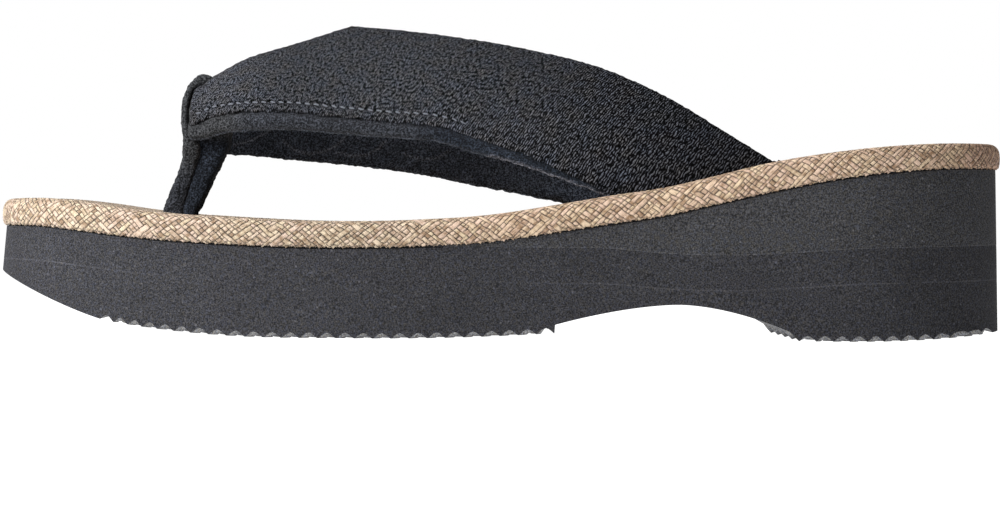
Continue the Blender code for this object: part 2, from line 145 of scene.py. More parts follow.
# A strap's lower edge, front to base: the crown of the section there, and how far the felt lip shows.
Outer = namedtuple("Outer", "x y z crown lip")
LATERAL_OUTER = rows(
    Outer,
    (-74.2, -5.0, 45.1, 3.0, 3.2), (-70.8, -6.0, 45.4, 3.3, 4.0), (-66.5, -8.0, 46.6, 3.8, 4.4),
    (-59.0, -12.6, 47.5, 4.8, 4.2), (-48.0, -18.4, 47.6, 5.8, 4.0), (-36.5, -23.4, 46.7, 6.4, 3.7),
    (-24.5, -27.9, 45.8, 6.4, 3.4), (-15.5, -30.4, 45.2, 6.0, 3.2), (-7.0, -32.4, 42.7, 5.2, 3.2),
    (3.0, -33.8, 40.2, 4.4, 2.6), (11.5, -33.9, 37.4, 3.2, 2.1), (19.0, -33.2, 34.9, 1.6, 1.7),
    (24.3, -32.3, 32.9, 0.0, 1.0),
)
MEDIAL_OUTER = rows(
    Outer,
    (-74.2, 11.0, 44.9, 3.0, 3.2), (-70.8, 12.2, 43.4, 3.4, 4.0), (-66.5, 14.2, 42.2, 4.2, 4.4),
    (-59.0, 17.8, 41.8, 5.2, 4.2), (-48.5, 22.2, 41.0, 6.4, 4.0), (-37.5, 26.2, 40.1, 7.2, 3.7),
    (-27.0, 29.3, 39.0, 7.2, 3.4), (-17.0, 31.6, 37.5, 6.6, 3.2), (-8.0, 32.9, 35.7, 5.6, 3.0),
    (-0.5, 33.5, 34.3, 4.4, 2.6), (6.0, 33.5, 33.1, 3.0, 2.1), (11.5, 33.0, 32.1, 1.4, 1.7),
    (16.0, 32.2, 31.4, 0.0, 1.0),
)

# A strap's upper edge behind the fork, down to its base.
Inner = namedtuple("Inner", "x y z")
LATERAL_INNER = rows(
    Inner,
    (-23.5, -4.6, 71.75), (-8.5, -10.6, 69.8), (7.5, -17.0, 67.0), (23.5, -22.8, 62.9), (38.8, -26.5, 56.1),
    (52.6, -28.8, 47.8), (64.0, -30.3, 40.7),
)
MEDIAL_INNER = rows(
    Inner,
    (-25.0, 6.8, 70.8), (-12.0, 12.6, 68.4), (2.0, 18.4, 65.5), (16.0, 23.4, 60.8), (29.5, 27.0, 54.3),
    (43.0, 29.4, 46.8), (56.3, 30.9, 39.6),
)

# The felt toe post's two layers, seen from the side: middle of each section, half depth, half width.
Post = namedtuple("Post", "x z half_depth half_width")
POST_FRONT = rows(
    Post,
    (-78.1, 25.4, 2.45, 4.2), (-77.9, 28.9, 2.50, 4.2), (-77.3, 31.0, 2.40, 4.3), (-76.3, 34.0, 2.15, 4.4),
    (-75.0, 37.5, 1.95, 4.7), (-74.0, 40.8, 2.05, 5.2), (-73.7, 43.6, 2.30, 6.4), (-74.4, 46.4, 1.40, 7.2),
    (-75.3, 50.0, 0.90, 6.9), (-75.3, 53.5, 0.85, 5.6), (-74.7, 56.6, 0.85, 4.4), (-73.5, 58.6, 0.95, 3.8),
    (-71.8, 59.9, 1.25, 3.5), (-70.0, 59.9, 1.05, 3.2), (-68.8, 59.0, 0.8, 2.8),
)
POST_REAR = rows(
    Post,
    (-74.3, 25.4, 1.7, 4.2), (-74.2, 28.9, 1.8, 4.2), (-73.3, 31.0, 2.1, 4.3), (-72.1, 34.0, 2.4, 4.4),
    (-70.9, 37.5, 2.6, 4.4), (-69.5, 41.0, 3.0, 4.4), (-68.9, 44.5, 4.0, 4.4), (-68.2, 48.0, 3.9, 4.2),
    (-66.4, 52.0, 3.0, 3.8), (-64.8, 55.2, 2.1, 3.2),
)
POST_Y = 3.0
POST_ROUNDNESS = 4.5


# ---- Settings that a user would change ----


def colour_setting(name, description, hex_colour):
    """A colour that a user can change, from its sRGB hex value."""
    return FloatVectorProperty(name=name, description=description, default=linear(hex_colour), subtype="COLOR")


def length_setting(name, description, size):
    """A size that a user can change, from its millimetres."""
    return FloatProperty(name=name, description=description, default=size * MM, unit="LENGTH")


class SpongeSettings(bpy.types.PropertyGroup):
    """Sizes and colours of the layered sponge sole."""

    ridge_pitch: length_setting("Ridge pitch", "Tread ridge to ridge", 4.25)
    toe_pitch: length_setting("Toe pitch", "The same at the toe", 3.3)
    ridge_depth: length_setting("Ridge depth", "Depth of the tread", 1.3)
    ridge_wave: length_setting("Ridge wave", "Sway of a ridge", 2.0)
    outsole_colour: colour_setting("Outsole", "Colour of the lowest layer", "2f2f32")
    midsole_colour: colour_setting("Midsole", "Colour of the middle sheet", "2f2f32")
    wedge_colour: colour_setting("Wedge", "Colour of the heel wedge", "373739")
    # The tread's hollows and the heel's front slope are painted paler: dusty, and painted light from the white floor.
    tread_dust_and_light_colour: colour_setting("Tread hollows", "Colour of the dusty moulded skin", "7a7a7b")


class StrawSettings(bpy.types.PropertyGroup):
    """Sizes and colours of the woven footbed cover."""

    pitch: length_setting("Yarn pitch", "Yarn to yarn", 1.0)
    lean: FloatProperty(
        name="Yarn lean", description="Yarns against the length", default=math.radians(39), unit="ROTATION"
    )
    light: colour_setting("Light yarn", "Colour of the palest yarns", "d3bd9d")
    pink: colour_setting("Pink yarn", "Colour of the pinker pale yarns", "cfb29e")
    dark: colour_setting("Dark yarn", "Colour of the darkest yarns", "8a6d52")
    # The gap colour is painted shade between the yarns and at their crossing ends.
    gap: colour_setting("Gap", "Colour between the yarns", "150c07")


class StrapSettings(bpy.types.PropertyGroup):
    """Sizes and colours of the cloth straps, their stitches and the felt."""

    proud: length_setting("Cloth proud", "Cloth over the felt", 0.45)
    stitch_pitch: length_setting("Stitch pitch", "Stitch to stitch", 2.3)
    stitch_length: length_setting("Stitch length", "Thread that shows", 1.5)
    cloth_colour: colour_setting("Cloth", "Colour of the crepe", "08090a")
    # The glint colour is a painted highlight on the crepe's strokes; the felt's creases take it too, as rubbed nap and
    # painted highlight.
    glint_colour: colour_setting("Glint", "Colour of the crepe's raised strokes", "9a9ca6")
    felt_colour: colour_setting("Felt", "Colour of the felt", "292b30")
    # The lining colour is the felt's blue, painted paler to stand in for light in its shade.
    lining_colour: colour_setting("Lining", "Colour of the felt that faces the foot", "454b56")
    # The toe's felt colour is painted light, at the front of the lip and on the post's hood.
    painted_toe_light_colour: colour_setting("Rubbed felt", "Colour of the felt at the toe", "2e2f31")
    # The deep colour is painted shade: behind the post, and on the rear of the lips.
    painted_shade_colour: colour_setting("Deep felt", "Colour of the felt behind the post", "1c2027")
    edge_colour: colour_setting("Frayed felt", "Colour of the felt's frayed edge", "77757a")
    thread_colour: colour_setting("Thread", "Colour of the stitches", "696d77")


class StageSettings(bpy.types.PropertyGroup):
    """Light and floor."""

    key_power: FloatProperty(name="Key power", description="Soft light at the toe side", default=2.4, unit="POWER")
    top_power: FloatProperty(name="Top power", description="Wide soft light overhead", default=6.5, unit="POWER")
    back_power: FloatProperty(name="Back power", description="Soft light behind the toe", default=1.4, unit="POWER")
    fill: FloatProperty(name="Fill", description="Even light from all round", default=0.02)
    floor_glow: FloatProperty(name="Floor glow", description="Light of the white floor itself", default=1.0)


# ---- Curves through table rows ----

UP = np.array([0.0, 0.0, 1.0])
# Half of the step that a slope is measured over, and the shortest vector that has a way of its own.
SLOPE_STEP = 0.02
TINY = 1e-6


def through(places, values, at):
    """Cubic curve through the rows, for an array of places."""
    places, values, at = (np.asarray(numbers, float) for numbers in (places, values, at))
    slopes = np.gradient(values, places, axis=0)
    index = np.clip(np.searchsorted(places, at) - 1, 0, len(places) - 2)
    width = places[index + 1] - places[index]
    t = (at - places[index]) / width
    if values.ndim > 1:
        t, width = t[..., None], width[..., None]
    return (
        (1 + 2 * t) * (1 - t) ** 2 * values[index]
        + t * t * (3 - 2 * t) * values[index + 1]
        + t * (1 - t) ** 2 * width * slopes[index]
        + t * t * (t - 1) * width * slopes[index + 1]
    )


def through_rows(table, steps):
    """Cubic curve through a table's rows, for steps counted in rows."""
    return through(range(len(table)), table, steps)


def column(table, name, station):
    """One column of a table at an array of stations."""
    return through([row[0] for row in table], [getattr(row, name) for row in table], station)


def smooth_step(t):
    t = np.clip(t, 0.0, 1.0)
    return t * t * (3 - 2 * t)


def bell(distance, reach, power=2):
    """1 at a place, fading to nothing round it."""
    return np.exp(-((distance / reach) ** power))


def unit(vectors):
    """The same vectors, each of length 1."""
    return vectors / np.maximum(np.linalg.norm(vectors, axis=-1), TINY)[..., None]


def distances_along(line):
    """How far along a line of points each of them is."""
    return np.concatenate([[0], np.cumsum(np.linalg.norm(np.diff(line, axis=0), axis=1))])


def distances_to(marks, places):
    """Distance from each place to the nearest mark."""
    tree = KDTree(len(marks))
    for i, mark in enumerate(marks):
        tree.insert(mark, i)
    tree.balance()
    return np.array([tree.find(place)[2] for place in places])


def noise_at(places, scale=1.0):
    """Smooth noise from -1 to 1 at each place."""
    return np.array([noise.noise(place * scale) for place in map(Vector, places)])


def footbed_top(station):
    return column(FOOTBED_ROWS, "top", station)


def footbed_under(station):
    return footbed_top(station) - column(FOOTBED_ROWS, "thickness", station)


def wedge_line(station):
    return column(WEDGE_ROWS, "height", station)


def midsole_top(station):
    return np.where(station < WEDGE_ROWS[0].station, footbed_under(station), wedge_line(station))


def midsole_under(station):
    return midsole_top(station) - MIDSOLE_THICKNESS


def arc_rise(run, radius):
    run = np.clip(run, 0.0, radius)
    return radius - np.sqrt(radius**2 - run**2)


def arch_height(station, power):
    return ARCH_TOP - ARCH_DROP * np.abs(station - ARCH_TOP_STATION) ** power


def tread(station):
    """Lowest surface of the sponge, without its ridges."""
    bevel = TOE_BEVEL_RISE * (np.maximum(0.0, TOE_BEVEL_END - station) / TOE_BEVEL_END) ** TOE_BEVEL_POWER
    toe = arc_rise(BALL_FLAT[0] - station, TOE_SPRING_RADIUS) + bevel
    ball = arc_rise(station - BALL_FLAT[1], BALL_ROCKER_RADIUS)
    arch = arch_height(station, np.where(station < ARCH_TOP_STATION, ARCH_FRONT_POWER, ARCH_REAR_POWER))
    arch_end = arch_height(ARCH_REAR_END, ARCH_REAR_POWER)
    step = arch_end * (HEEL_FLAT[0] - station) / (HEEL_FLAT[0] - ARCH_REAR_END)
    heel = arc_rise(station - HEEL_FLAT[1], HEEL_ROCKER_RADIUS)
    spans = [station < BALL_FLAT[0], station <= ARCH_START, station <= ARCH_REAR_END, station <= HEEL_FLAT[0]]
    return np.select(spans, [toe, ball, arch, step], heel)


def half_width(side, station):
    """Distance from the centre line to the outline."""
    station = np.clip(station, 0.0, LENGTH)
    toe = side.ball * (1 - np.clip(1 - station / side.ball_station, 0, 1) ** side.toe_full) ** (1 / side.toe_full)
    back = np.clip((station - side.heel_station) / (LENGTH - side.heel_station), 0, 1)
    heel = side.heel * (1 - back**side.heel_full) ** (1 / side.heel_full)
    front = smooth_step((station - side.ball_station) / (side.waist_station - side.ball_station))
    rear = smooth_step((station - side.waist_station) / (side.heel_station - side.waist_station))
    waist = side.ball + (side.waist - side.ball) * front + (side.heel - side.waist) * rear
    return np.select([station <= side.ball_station, station >= side.heel_station], [toe, heel], waist)


def outward(side, station):
    """Unit normals of the plan outline, as (along, sideways) pairs."""
    ahead = np.clip(station - SLOPE_STEP, 0, LENGTH)
    behind = np.clip(station + SLOPE_STEP, 0, LENGTH)
    rise = half_width(side, behind) - half_width(side, ahead)
    size = np.hypot(behind - ahead, rise)
    along = np.where(station <= 0, -1.0, np.where(station >= LENGTH, 1.0, -rise / size))
    sideways = np.where((station <= 0) | (station >= LENGTH), 0.0, side.sign * (behind - ahead) / size)
    return along, sideways


def edge_points(side, station, inset, height):
    """Points this far inside the plan outline, at a height."""
    along, sideways = outward(side, station)
    y = side.sign * half_width(side, station) - inset * sideways
    return np.column_stack([station - inset * along - LENGTH / 2, y, height])


def dense_at_ends(count):
    """Stations of the whole length, closer together where the outline turns."""
    return LENGTH * (1 - np.cos(np.linspace(0, math.pi, count))) / 2


# ---- Mesh helpers ----

WELD_GAP = 0.004


def grid(points, uvs, share=None):
    """A bmesh grid laid through rows of points in millimetres, with its UV map in metres and its shares: on the sole,
    dusty paint with painted floor light; on the crepe, painted light and shade.
    """
    mesh = bmesh.new()
    layer = mesh.loops.layers.uv.new("UVMap")
    shares = mesh.verts.layers.float.new("share")
    bmesh.ops.create_grid(mesh, x_segments=points.shape[1] - 1, y_segments=points.shape[0] - 1, size=0.5)
    flat_uvs = uvs.reshape(-1, 2) * MM
    for vert, point in zip(mesh.verts, points.reshape(-1, 3) * MM):
        vert.co = point
    if share is not None:
        for vert, value in zip(mesh.verts, share.ravel()):
            vert[shares] = value
    for face in mesh.faces:
        for loop in face.loops:
            loop[layer].uv = flat_uvs[loop.vert.index]
    return mesh


def closed(mesh):
    """Welds a grid whose edges meet, fills the holes that are left, and turns every face outwards."""
    bmesh.ops.remove_doubles(mesh, verts=mesh.verts, dist=WELD_GAP * MM)
    bmesh.ops.dissolve_degenerate(mesh, edges=mesh.edges, dist=WELD_GAP * MM / 4)
    bmesh.ops.holes_fill(mesh, edges=[edge for edge in mesh.edges if edge.is_boundary], sides=0)
    bmesh.ops.recalc_face_normals(mesh, faces=mesh.faces)
    return mesh


def linked(name, data):
    """A new object in the scene."""
    made = bpy.data.objects.new(name, data)
    bpy.context.scene.collection.objects.link(made)
    return made


def mesh_data(name, mesh, material=None):
    """A bmesh as mesh data, with its material if it has one."""
    data = bpy.data.meshes.new(name)
    mesh.to_mesh(data)
    mesh.free()
    if material:
        data.materials.append(material)
    return data


def piece(name, mesh, material, stands_for=(), sharp=None):
    """Makes a bmesh the named piece, with its material and its body, and hides the solids that it stands for."""
    data = mesh_data(name, mesh, material)
    data.shade_smooth()
    if sharp is not None:
        data.set_sharp_from_angle(angle=math.radians(sharp))
    made = linked(name, data)
    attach(made, BODY)
    if stands_for:
        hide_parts(*stands_for)
    return made


def set_inputs(node, inputs):
    """Sets a node's inputs: each takes a value, a colour's three shares or another node's output."""
    for name, value in inputs.items():
        socket = node.inputs[name]
        if isinstance(value, bpy.types.NodeSocket):
            node.id_data.links.new(value, socket)
        else:
            socket.default_value = (*value, 1.0) if socket.type == "RGBA" else value


def add(tree, kind, inputs=None, **settings):
    """Adds a shader node with its settings, its inputs' values and its links."""
    made = tree.nodes.new("ShaderNode" + kind)
    for name, value in settings.items():
        setattr(made, name, value)
    set_inputs(made, inputs or {})
    return made


def new_material(name, **surface):
    """A material with its Principled shader, whose constants are set on its own sockets."""
    made = bpy.data.materials.new(name)
    made.use_nodes = True
    shader = made.node_tree.nodes["Principled BSDF"]
    set_inputs(shader, {socket.replace("_", " "): value for socket, value in surface.items()})
    return made, made.node_tree, shader


def calculate(tree, known, table):
    """Runs a table of maths steps as nodes, a line each: result, operation, and inputs by name or number."""
    for line in filter(str.strip, table.splitlines()):
        result, operation, *names = line.split()
        inputs = {i: known[name] if name in known else float(name) for i, name in enumerate(names)}
        known[result] = add(tree, "Math", inputs, operation=operation).outputs[0]
    return known


# ---- Materials ----

# A pattern's scale is its cells a millimetre: grain of 0.3 mm takes 3, and a cell holds one grain.
SPONGE_GRAIN, SPONGE_TINT, SPONGE_CLOUD, SPONGE_SPECKS = 3.0, 2.1, 0.06, 0.62
STRAW_PRESS = 0.62
CREPE_BREAKS, CREPE_FIBRES, CREPE_HUE = 1.5, 2.6, 0.26
FELT_FIBRES, FELT_CLOUD = 2.5, 0.24
THREAD_TWIST = 0.9
# The strokes of the crepe: their lean against the length, and stroke to stroke in millimetres.
STROKE_LEAN = 58.0
STROKE_PITCH = 0.47
# Uneven dye, as shares of red, green and blue: cool in one place and warm in another.
SPONGE_COOL, SPONGE_WARM = (0.86, 0.96, 1.22), (1.14, 1.04, 0.80)
CREPE_COOL, CREPE_WARM = (0.84, 0.98, 1.20), (1.16, 1.02, 0.80)
THREAD_SHADE = 0.6
# Crossings of the straw weave that are floats: this many in each cycle of a scattered count.
FLOAT_CYCLE = 19.0
FLOAT_SHARE = 5.5
YARN_EDGE = 5.0
YARN_END = 6.0
YARN_DIP = 0.95
# What the straw loses of its red, green and blue as painted shade: darker and browner at the heel, where its rim turns
# from the light, and darker and greyer at the toe, as the straps' shadow.
HEEL_PAINTED_SHADE = (-1.03, -1.33, -1.46)
TOE_PAINTED_SHADOW = (-1.5, -1.1, -0.8)


def sponge_material(name, colour, dust_and_light_colour):
    """Closed-cell sponge, ground smooth: matte grains of 0.3 mm, a few pale specks, a fine pale line at a joint."""
    made, tree, shader = new_material(name, Roughness=0.85, Specular_IOR_Level=0.15)
    place = add(tree, "TexCoord").outputs["Object"]
    joint = add(tree, "SeparateXYZ", {0: add(tree, "UVMap", uv_map="UVMap").outputs["UV"]})
    dust_and_light = add(tree, "Attribute", attribute_name="share")
    grain = {"Vector": place, "Scale": SPONGE_GRAIN / MM, "Detail": 2.0, "Roughness": 0.7}
    cells = add(tree, "TexNoise", grain).outputs["Fac"]
    tint = add(tree, "TexNoise", {"Vector": place, "Scale": SPONGE_TINT / MM, "Detail": 0.0})
    cloud = add(tree, "TexNoise", {"Vector": place, "Scale": SPONGE_CLOUD / MM, "Detail": 3.0})
    specks = add(tree, "TexVoronoi", {"Vector": place, "Scale": SPONGE_SPECKS / MM})
    known = {
        "cells": cells,
        "cloud": cloud.outputs["Fac"],
        "far": specks.outputs["Distance"],
        "luck": add(tree, "SeparateColor", {0: specks.outputs["Color"]}).outputs[0],
        "u": joint.outputs[0],
        "v": joint.outputs[1],
    }
    calculate(tree, known, """
        fine        MULTIPLY_ADD cells 5.8 -1.9
        fine_safe   MAXIMUM      fine 0.3
        soft        MULTIPLY_ADD cloud 0.4 0.8
        grain       MULTIPLY     fine_safe soft
        lucky       LESS_THAN    luck 0.2
        close       LESS_THAN    far 0.17
        speck       MULTIPLY     lucky close
        speckled    MULTIPLY_ADD speck 1.2 grain
        from_joint  ABSOLUTE     v
        line        MULTIPLY_ADD from_joint -4200 1
        line_safe   MAXIMUM      line 0
        from_ball   ADD          u 0.035
        ends        MULTIPLY     from_ball 17
        ends_only   POWER        ends 2
        ends_safe   MINIMUM      ends_only 1
        line_patchy MULTIPLY     line_safe cloud
        line_faded  MULTIPLY     line_patchy ends_safe
        shade       MULTIPLY_ADD line_faded 1.6 speckled
    """)
    # Where the share attribute says, the pale colour is dusty skin with painted light from the floor.
    dye, skin = (
        add(tree, "Mix", {"Factor": share, "A": low, "B": high}, data_type="RGBA").outputs["Result"]
        for share, low, high in (
            (tint.outputs["Fac"], SPONGE_COOL, SPONGE_WARM),
            (dust_and_light.outputs["Fac"], colour, dust_and_light_colour),
        )
    )
    dyed = add(tree, "VectorMath", {0: skin, 1: dye}, operation="MULTIPLY").outputs["Vector"]
    shaded = add(tree, "VectorMath", {0: dyed, "Scale": known["shade"]}, operation="SCALE")
    bump = add(tree, "Bump", {"Strength": 0.4, "Distance": 0.12 * MM, "Height": cells})
    set_inputs(shader, {"Base Color": shaded.outputs["Vector"], "Normal": bump.outputs["Normal"]})
    return made


# Maths steps: 1 where the first yarns pass over, 0 where the second do. Some crossings are floats.
CROSSING = """
    {0}_sum     ADD            {1} {2}
    {0}_plain   FLOORED_MODULO {0}_sum 2
    {0}_a       MULTIPLY_ADD   {2} 7 11
    {0}_b       MULTIPLY_ADD   {1} 3 {0}_a
    {0}_c       MULTIPLY       {1} {0}_b
    {0}_d       MULTIPLY_ADD   {2} 5 13
    {0}_e       MULTIPLY_ADD   {2} {0}_d {0}_c
    {0}_f       FLOORED_MODULO {0}_e cycle
    {0}_float   LESS_THAN      {0}_f floats
    {0}_differs SUBTRACT       {0}_plain {0}_float
    {0}         ABSOLUTE       {0}_differs
"""


def straw_material(settings):
    """Flat straw yarns in a plain weave on the bias, with a scattered longer float at three crossings in ten."""
    made, tree, shader = new_material("woven_straw", Roughness=0.62, Specular_IOR_Level=0.4, Sheen_Weight=0.08)
    place = add(tree, "UVMap", uv_map="UVMap").outputs["UV"]
    known = {"cycle": FLOAT_CYCLE, "floats": FLOAT_SHARE, "edge": YARN_EDGE, "end": YARN_END, "depth": -YARN_DIP}
    sine, cosine = math.sin(settings.lean) / settings.pitch, math.cos(settings.lean) / settings.pitch
    for name, way in (("a", -sine), ("b", sine)):
        across = add(tree, "VectorMath", {0: place, 1: (way, cosine, 0)}, operation="DOT_PRODUCT")
        known[name] = across.outputs["Value"]
    # side and run are the places from the middle of the crossing, across its yarn and along it.
    calculate(tree, known, """
        row    FLOOR        a
        line   FLOOR        b
        in_a   FRACT        a
        from_a SUBTRACT     in_a 0.5
        in_b   FRACT        b
        from_b SUBTRACT     in_b 0.5
    """ + CROSSING.format("over", "row", "line") + """
        under     SUBTRACT     1 over
        sign_a    SIGN         from_a
        sign_b    SIGN         from_b
        next_row  MULTIPLY_ADD sign_a under row
        next_line MULTIPLY_ADD sign_b over line
    """ + CROSSING.format("next_over", "next_row", "next_line") + """
        change      SUBTRACT     over next_over
        ends        ABSOLUTE     change
        a_part      MULTIPLY     from_a over
        side        MULTIPLY_ADD from_b under a_part
        b_part      MULTIPLY     from_b over
        run         MULTIPLY_ADD from_a under b_part
        side_size   ABSOLUTE     side
        side_two    MULTIPLY     side_size 2
        side_fall   POWER        side_two edge
        round       SUBTRACT     1 side_fall
        run_size    ABSOLUTE     run
        run_two     MULTIPLY     run_size 2
        run_fall    POWER        run_two end
        dip         MULTIPLY     run_fall ends
        arch        MULTIPLY_ADD dip depth 1
        height      MULTIPLY     round arch
        yarn_a      MULTIPLY     row over
        far_line    ADD          line 517
        yarn        MULTIPLY_ADD far_line under yarn_a
        along_a     MULTIPLY     b over
        along       MULTIPLY_ADD a under along_a
        slow        MULTIPLY     along 0.23
        fast_across MULTIPLY     side 9
    """)
    # Tone and fibre are noises in the yarn's own place: its number, and how far along and across it.
    tone_at = add(tree, "CombineXYZ", {0: known["yarn"], 1: known["slow"]}).outputs[0]
    fibre_at = {0: known["along"], 1: known["fast_across"], 2: known["yarn"]}
    fibre_at = add(tree, "CombineXYZ", fibre_at).outputs[0]
    for name, at, scale, detail in (
        ("tone", tone_at, 3.1, 1.0),
        ("fibre", fibre_at, 1.3, 3.0),
        ("press", place, STRAW_PRESS / MM, 1.0),
    ):
        known[name] = add(tree, "TexNoise", {"Vector": at, "Scale": scale, "Detail": detail}).outputs["Fac"]
    known["x"] = add(tree, "SeparateXYZ", {0: add(tree, "TexCoord").outputs["Object"]}).outputs["X"]
    # The straw is painted darker and browner round the heel, where its rim turns from the light, and darker and greyer
    # round the toe, as the straps' shadow.
    calculate(tree, known, """
        tone_wide   MULTIPLY_ADD tone 3.5 -1.13
        fibre_wide  MULTIPLY_ADD fibre 2.6 -1.3
        mixed       ADD          tone_wide fibre_wide
        height_safe MAXIMUM      height 0
        tight       MULTIPLY_ADD press 3.4 -0.9
        tight_safe  MAXIMUM      tight 0.25
        lit         POWER        height_safe tight_safe
        relief      MULTIPLY_ADD fibre 0.35 height
        heel        MULTIPLY_ADD x 18 -1.72
        heel_safe   MAXIMUM      heel 0
        toe         MULTIPLY     x -4
        toe_low     MINIMUM      toe 0.12
        toe_safe    MAXIMUM      toe_low 0
    """)
    hue = add(tree, "TexWhiteNoise", {"W": known["yarn"]}, noise_dimensions="1D").outputs["Value"]
    colour = settings.pink
    # The gaps between yarns and the dips at their crossing ends take the gap colour as painted shade, as far as lit
    # reaches; press varies that reach.
    for share, other in ((hue, settings.light), (known["mixed"], settings.dark), (known["lit"], settings.gap)):
        mixed = add(tree, "Mix", {"Factor": share, "A": other, "B": colour}, data_type="RGBA")
        colour = mixed.outputs["Result"]
    kept = (1.0, 1.0, 1.0)
    for share, loss in ((known["heel_safe"], HEEL_PAINTED_SHADE), (known["toe_safe"], TOE_PAINTED_SHADOW)):
        kept = add(tree, "VectorMath", {0: share, 1: loss, 2: kept}, operation="MULTIPLY_ADD").outputs[0]
    colour = add(tree, "VectorMath", {0: colour, 1: kept}, operation="MULTIPLY").outputs[0]
    bump = add(tree, "Bump", {"Strength": 0.9, "Distance": 0.28 * MM, "Height": known["relief"]})
    set_inputs(shader, {"Base Color": colour, "Normal": bump.outputs["Normal"]})
    return made


def crepe_material(settings):
    """Crepe of hard-twisted yarn: short leaning strokes about 0.9 by 0.3 mm whose glints are painted highlights over a
    nearly black ground.
    """
    made, tree, shader = new_material("crepe_cloth", Roughness=0.75, Specular_IOR_Level=0.03)
    place = add(tree, "UVMap", uv_map="UVMap").outputs["UV"]
    turn = (0.0, 0.0, math.radians(90 - STROKE_LEAN))
    turned = add(tree, "Mapping", {"Vector": place, "Rotation": turn}).outputs[0]
    waves = {"Vector": turned, "Scale": math.pi / (10 * STROKE_PITCH * MM), "Distortion": 4.0}
    strokes = add(tree, "TexWave", {**waves, "Detail": 0.0, "Detail Scale": 1.5}).outputs["Fac"]
    known = {"strokes": strokes, "painted_shading": add(tree, "Attribute", attribute_name="share").outputs["Fac"]}
    for name, cells, detail in (("breaks", CREPE_BREAKS, 1.0), ("fibres", CREPE_FIBRES, 1.0), ("hue", CREPE_HUE, 2.0)):
        texture = add(tree, "TexNoise", {"Vector": place, "Scale": cells / MM, "Detail": detail})
        known[name] = texture.outputs["Fac"]
    calculate(tree, known, """
        pieces      MULTIPLY_ADD breaks 4.2 -1.3
        pieces_safe MAXIMUM      pieces 0.05
        shape       MULTIPLY     strokes pieces_safe
        sharp       POWER        shape 2
        hairy       MULTIPLY_ADD fibres 3 -0.5
        hairy_safe  MAXIMUM      hairy 0.1
        glint       MULTIPLY     sharp hairy_safe
    """)
    dye, body = (
        add(tree, "Mix", {"Factor": known[share], "A": low, "B": high}, data_type="RGBA").outputs["Result"]
        for share, low, high in (
            ("hue", CREPE_COOL, CREPE_WARM),
            ("glint", settings.cloth_colour, settings.glint_colour),
        )
    )
    dyed = add(tree, "VectorMath", {0: body, 1: dye}, operation="MULTIPLY").outputs["Vector"]
    # The share attribute scales the crepe by its painted light along the shoe and its painted shade in the stitch
    # holes.
    colour = add(tree, "VectorMath", {0: dyed, "Scale": known["painted_shading"]}, operation="SCALE")
    bump = add(tree, "Bump", {"Strength": 0.9, "Distance": 0.25 * MM, "Height": known["shape"]})
    set_inputs(shader, {"Base Color": colour.outputs["Vector"], "Normal": bump.outputs["Normal"]})
    return made


def felt_material():
    """Pressed wool felt: no gloss, a soft uneven nap of fibres about 0.2 mm across."""
    soft = {"Specular_IOR_Level": 0.05, "Sheen_Weight": 0.04, "Sheen_Roughness": 0.6}
    made, tree, shader = new_material("wool_felt", Roughness=0.95, **soft)
    place = add(tree, "TexCoord").outputs["Object"]
    fibres = {"Vector": place, "Scale": FELT_FIBRES / MM, "Detail": 2.0, "Roughness": 0.7}
    nap = add(tree, "TexNoise", fibres).outputs["Fac"]
    cloud = add(tree, "TexNoise", {"Vector": place, "Scale": FELT_CLOUD / MM, "Detail": 3.0}).outputs["Fac"]
    known = calculate(tree, {"nap": nap, "cloud": cloud}, """
        fine      MULTIPLY_ADD nap 11 -4.6
        fine_safe MAXIMUM      fine 0.25
        soft      MULTIPLY_ADD cloud 0.8 0.6
        shade     MULTIPLY     fine_safe soft
    """)
    tint = add(tree, "Attribute", attribute_name="tint").outputs["Color"]
    colour = add(tree, "VectorMath", {0: tint, "Scale": known["shade"]}, operation="SCALE")
    bump = add(tree, "Bump", {"Strength": 0.8, "Distance": 0.3 * MM, "Height": nap})
    set_inputs(shader, {"Base Color": colour.outputs["Vector"], "Normal": bump.outputs["Normal"]})
    return made


def thread_material(settings):
    """Spun polyester sewing thread: a slight lustre, with its twist in bands of 0.3 mm."""
    made, tree, shader = new_material("sewing_thread", Roughness=0.5, Specular_IOR_Level=0.5)
    place = add(tree, "TexCoord").outputs["Object"]
    turned = add(tree, "Mapping", {"Vector": place, "Rotation": (0.0, 0.6, 0.5)}).outputs[0]
    twist = add(tree, "TexWave", {"Vector": turned, "Scale": THREAD_TWIST / MM, "Distortion": 1.0})
    light, dark = settings.thread_colour, [c * THREAD_SHADE for c in settings.thread_colour]
    colour = add(tree, "Mix", {"Factor": twist.outputs["Fac"], "A": dark, "B": light}, data_type="RGBA")
    set_inputs(shader, {"Base Color": colour.outputs["Result"]})
    return made


# ---- The sponge sole ----

# Places along a ridge's pitch that keep its narrow crest and its wide round hollow.
RIDGE_PHASES = (0.0, 0.07, 0.17, 0.33, 0.5, 0.67, 0.83, 0.93)
# Whole waves of a ridge across the sole, so that each ends at both walls without a shift.
RIDGE_WAVES = 7
RIDGE_FADE = 8.0
RIDGE_GROWTH = 7
ARCH_SLOPE_END = 132.8
# The heel block's front edge has recesses between a few lobes, and the slope before it is dusty and painted paler as
# light from the floor.
HEEL_LOBES = 4
HEEL_SKEW = 1.8
HEEL_BITE = 3.2
HEEL_BITE_REACH = 5.0
HEEL_RECESS = 1.7
HEEL_RECESS_REACH = 1.5
HEEL_DUST_AND_LIGHT_START = 172.0
HEEL_DUST_AND_LIGHT_FADE = 8.0
HEEL_DUST_AND_LIGHT = 0.9
HOLLOW_DUST_AND_LIGHT_DEPTH = 0.25
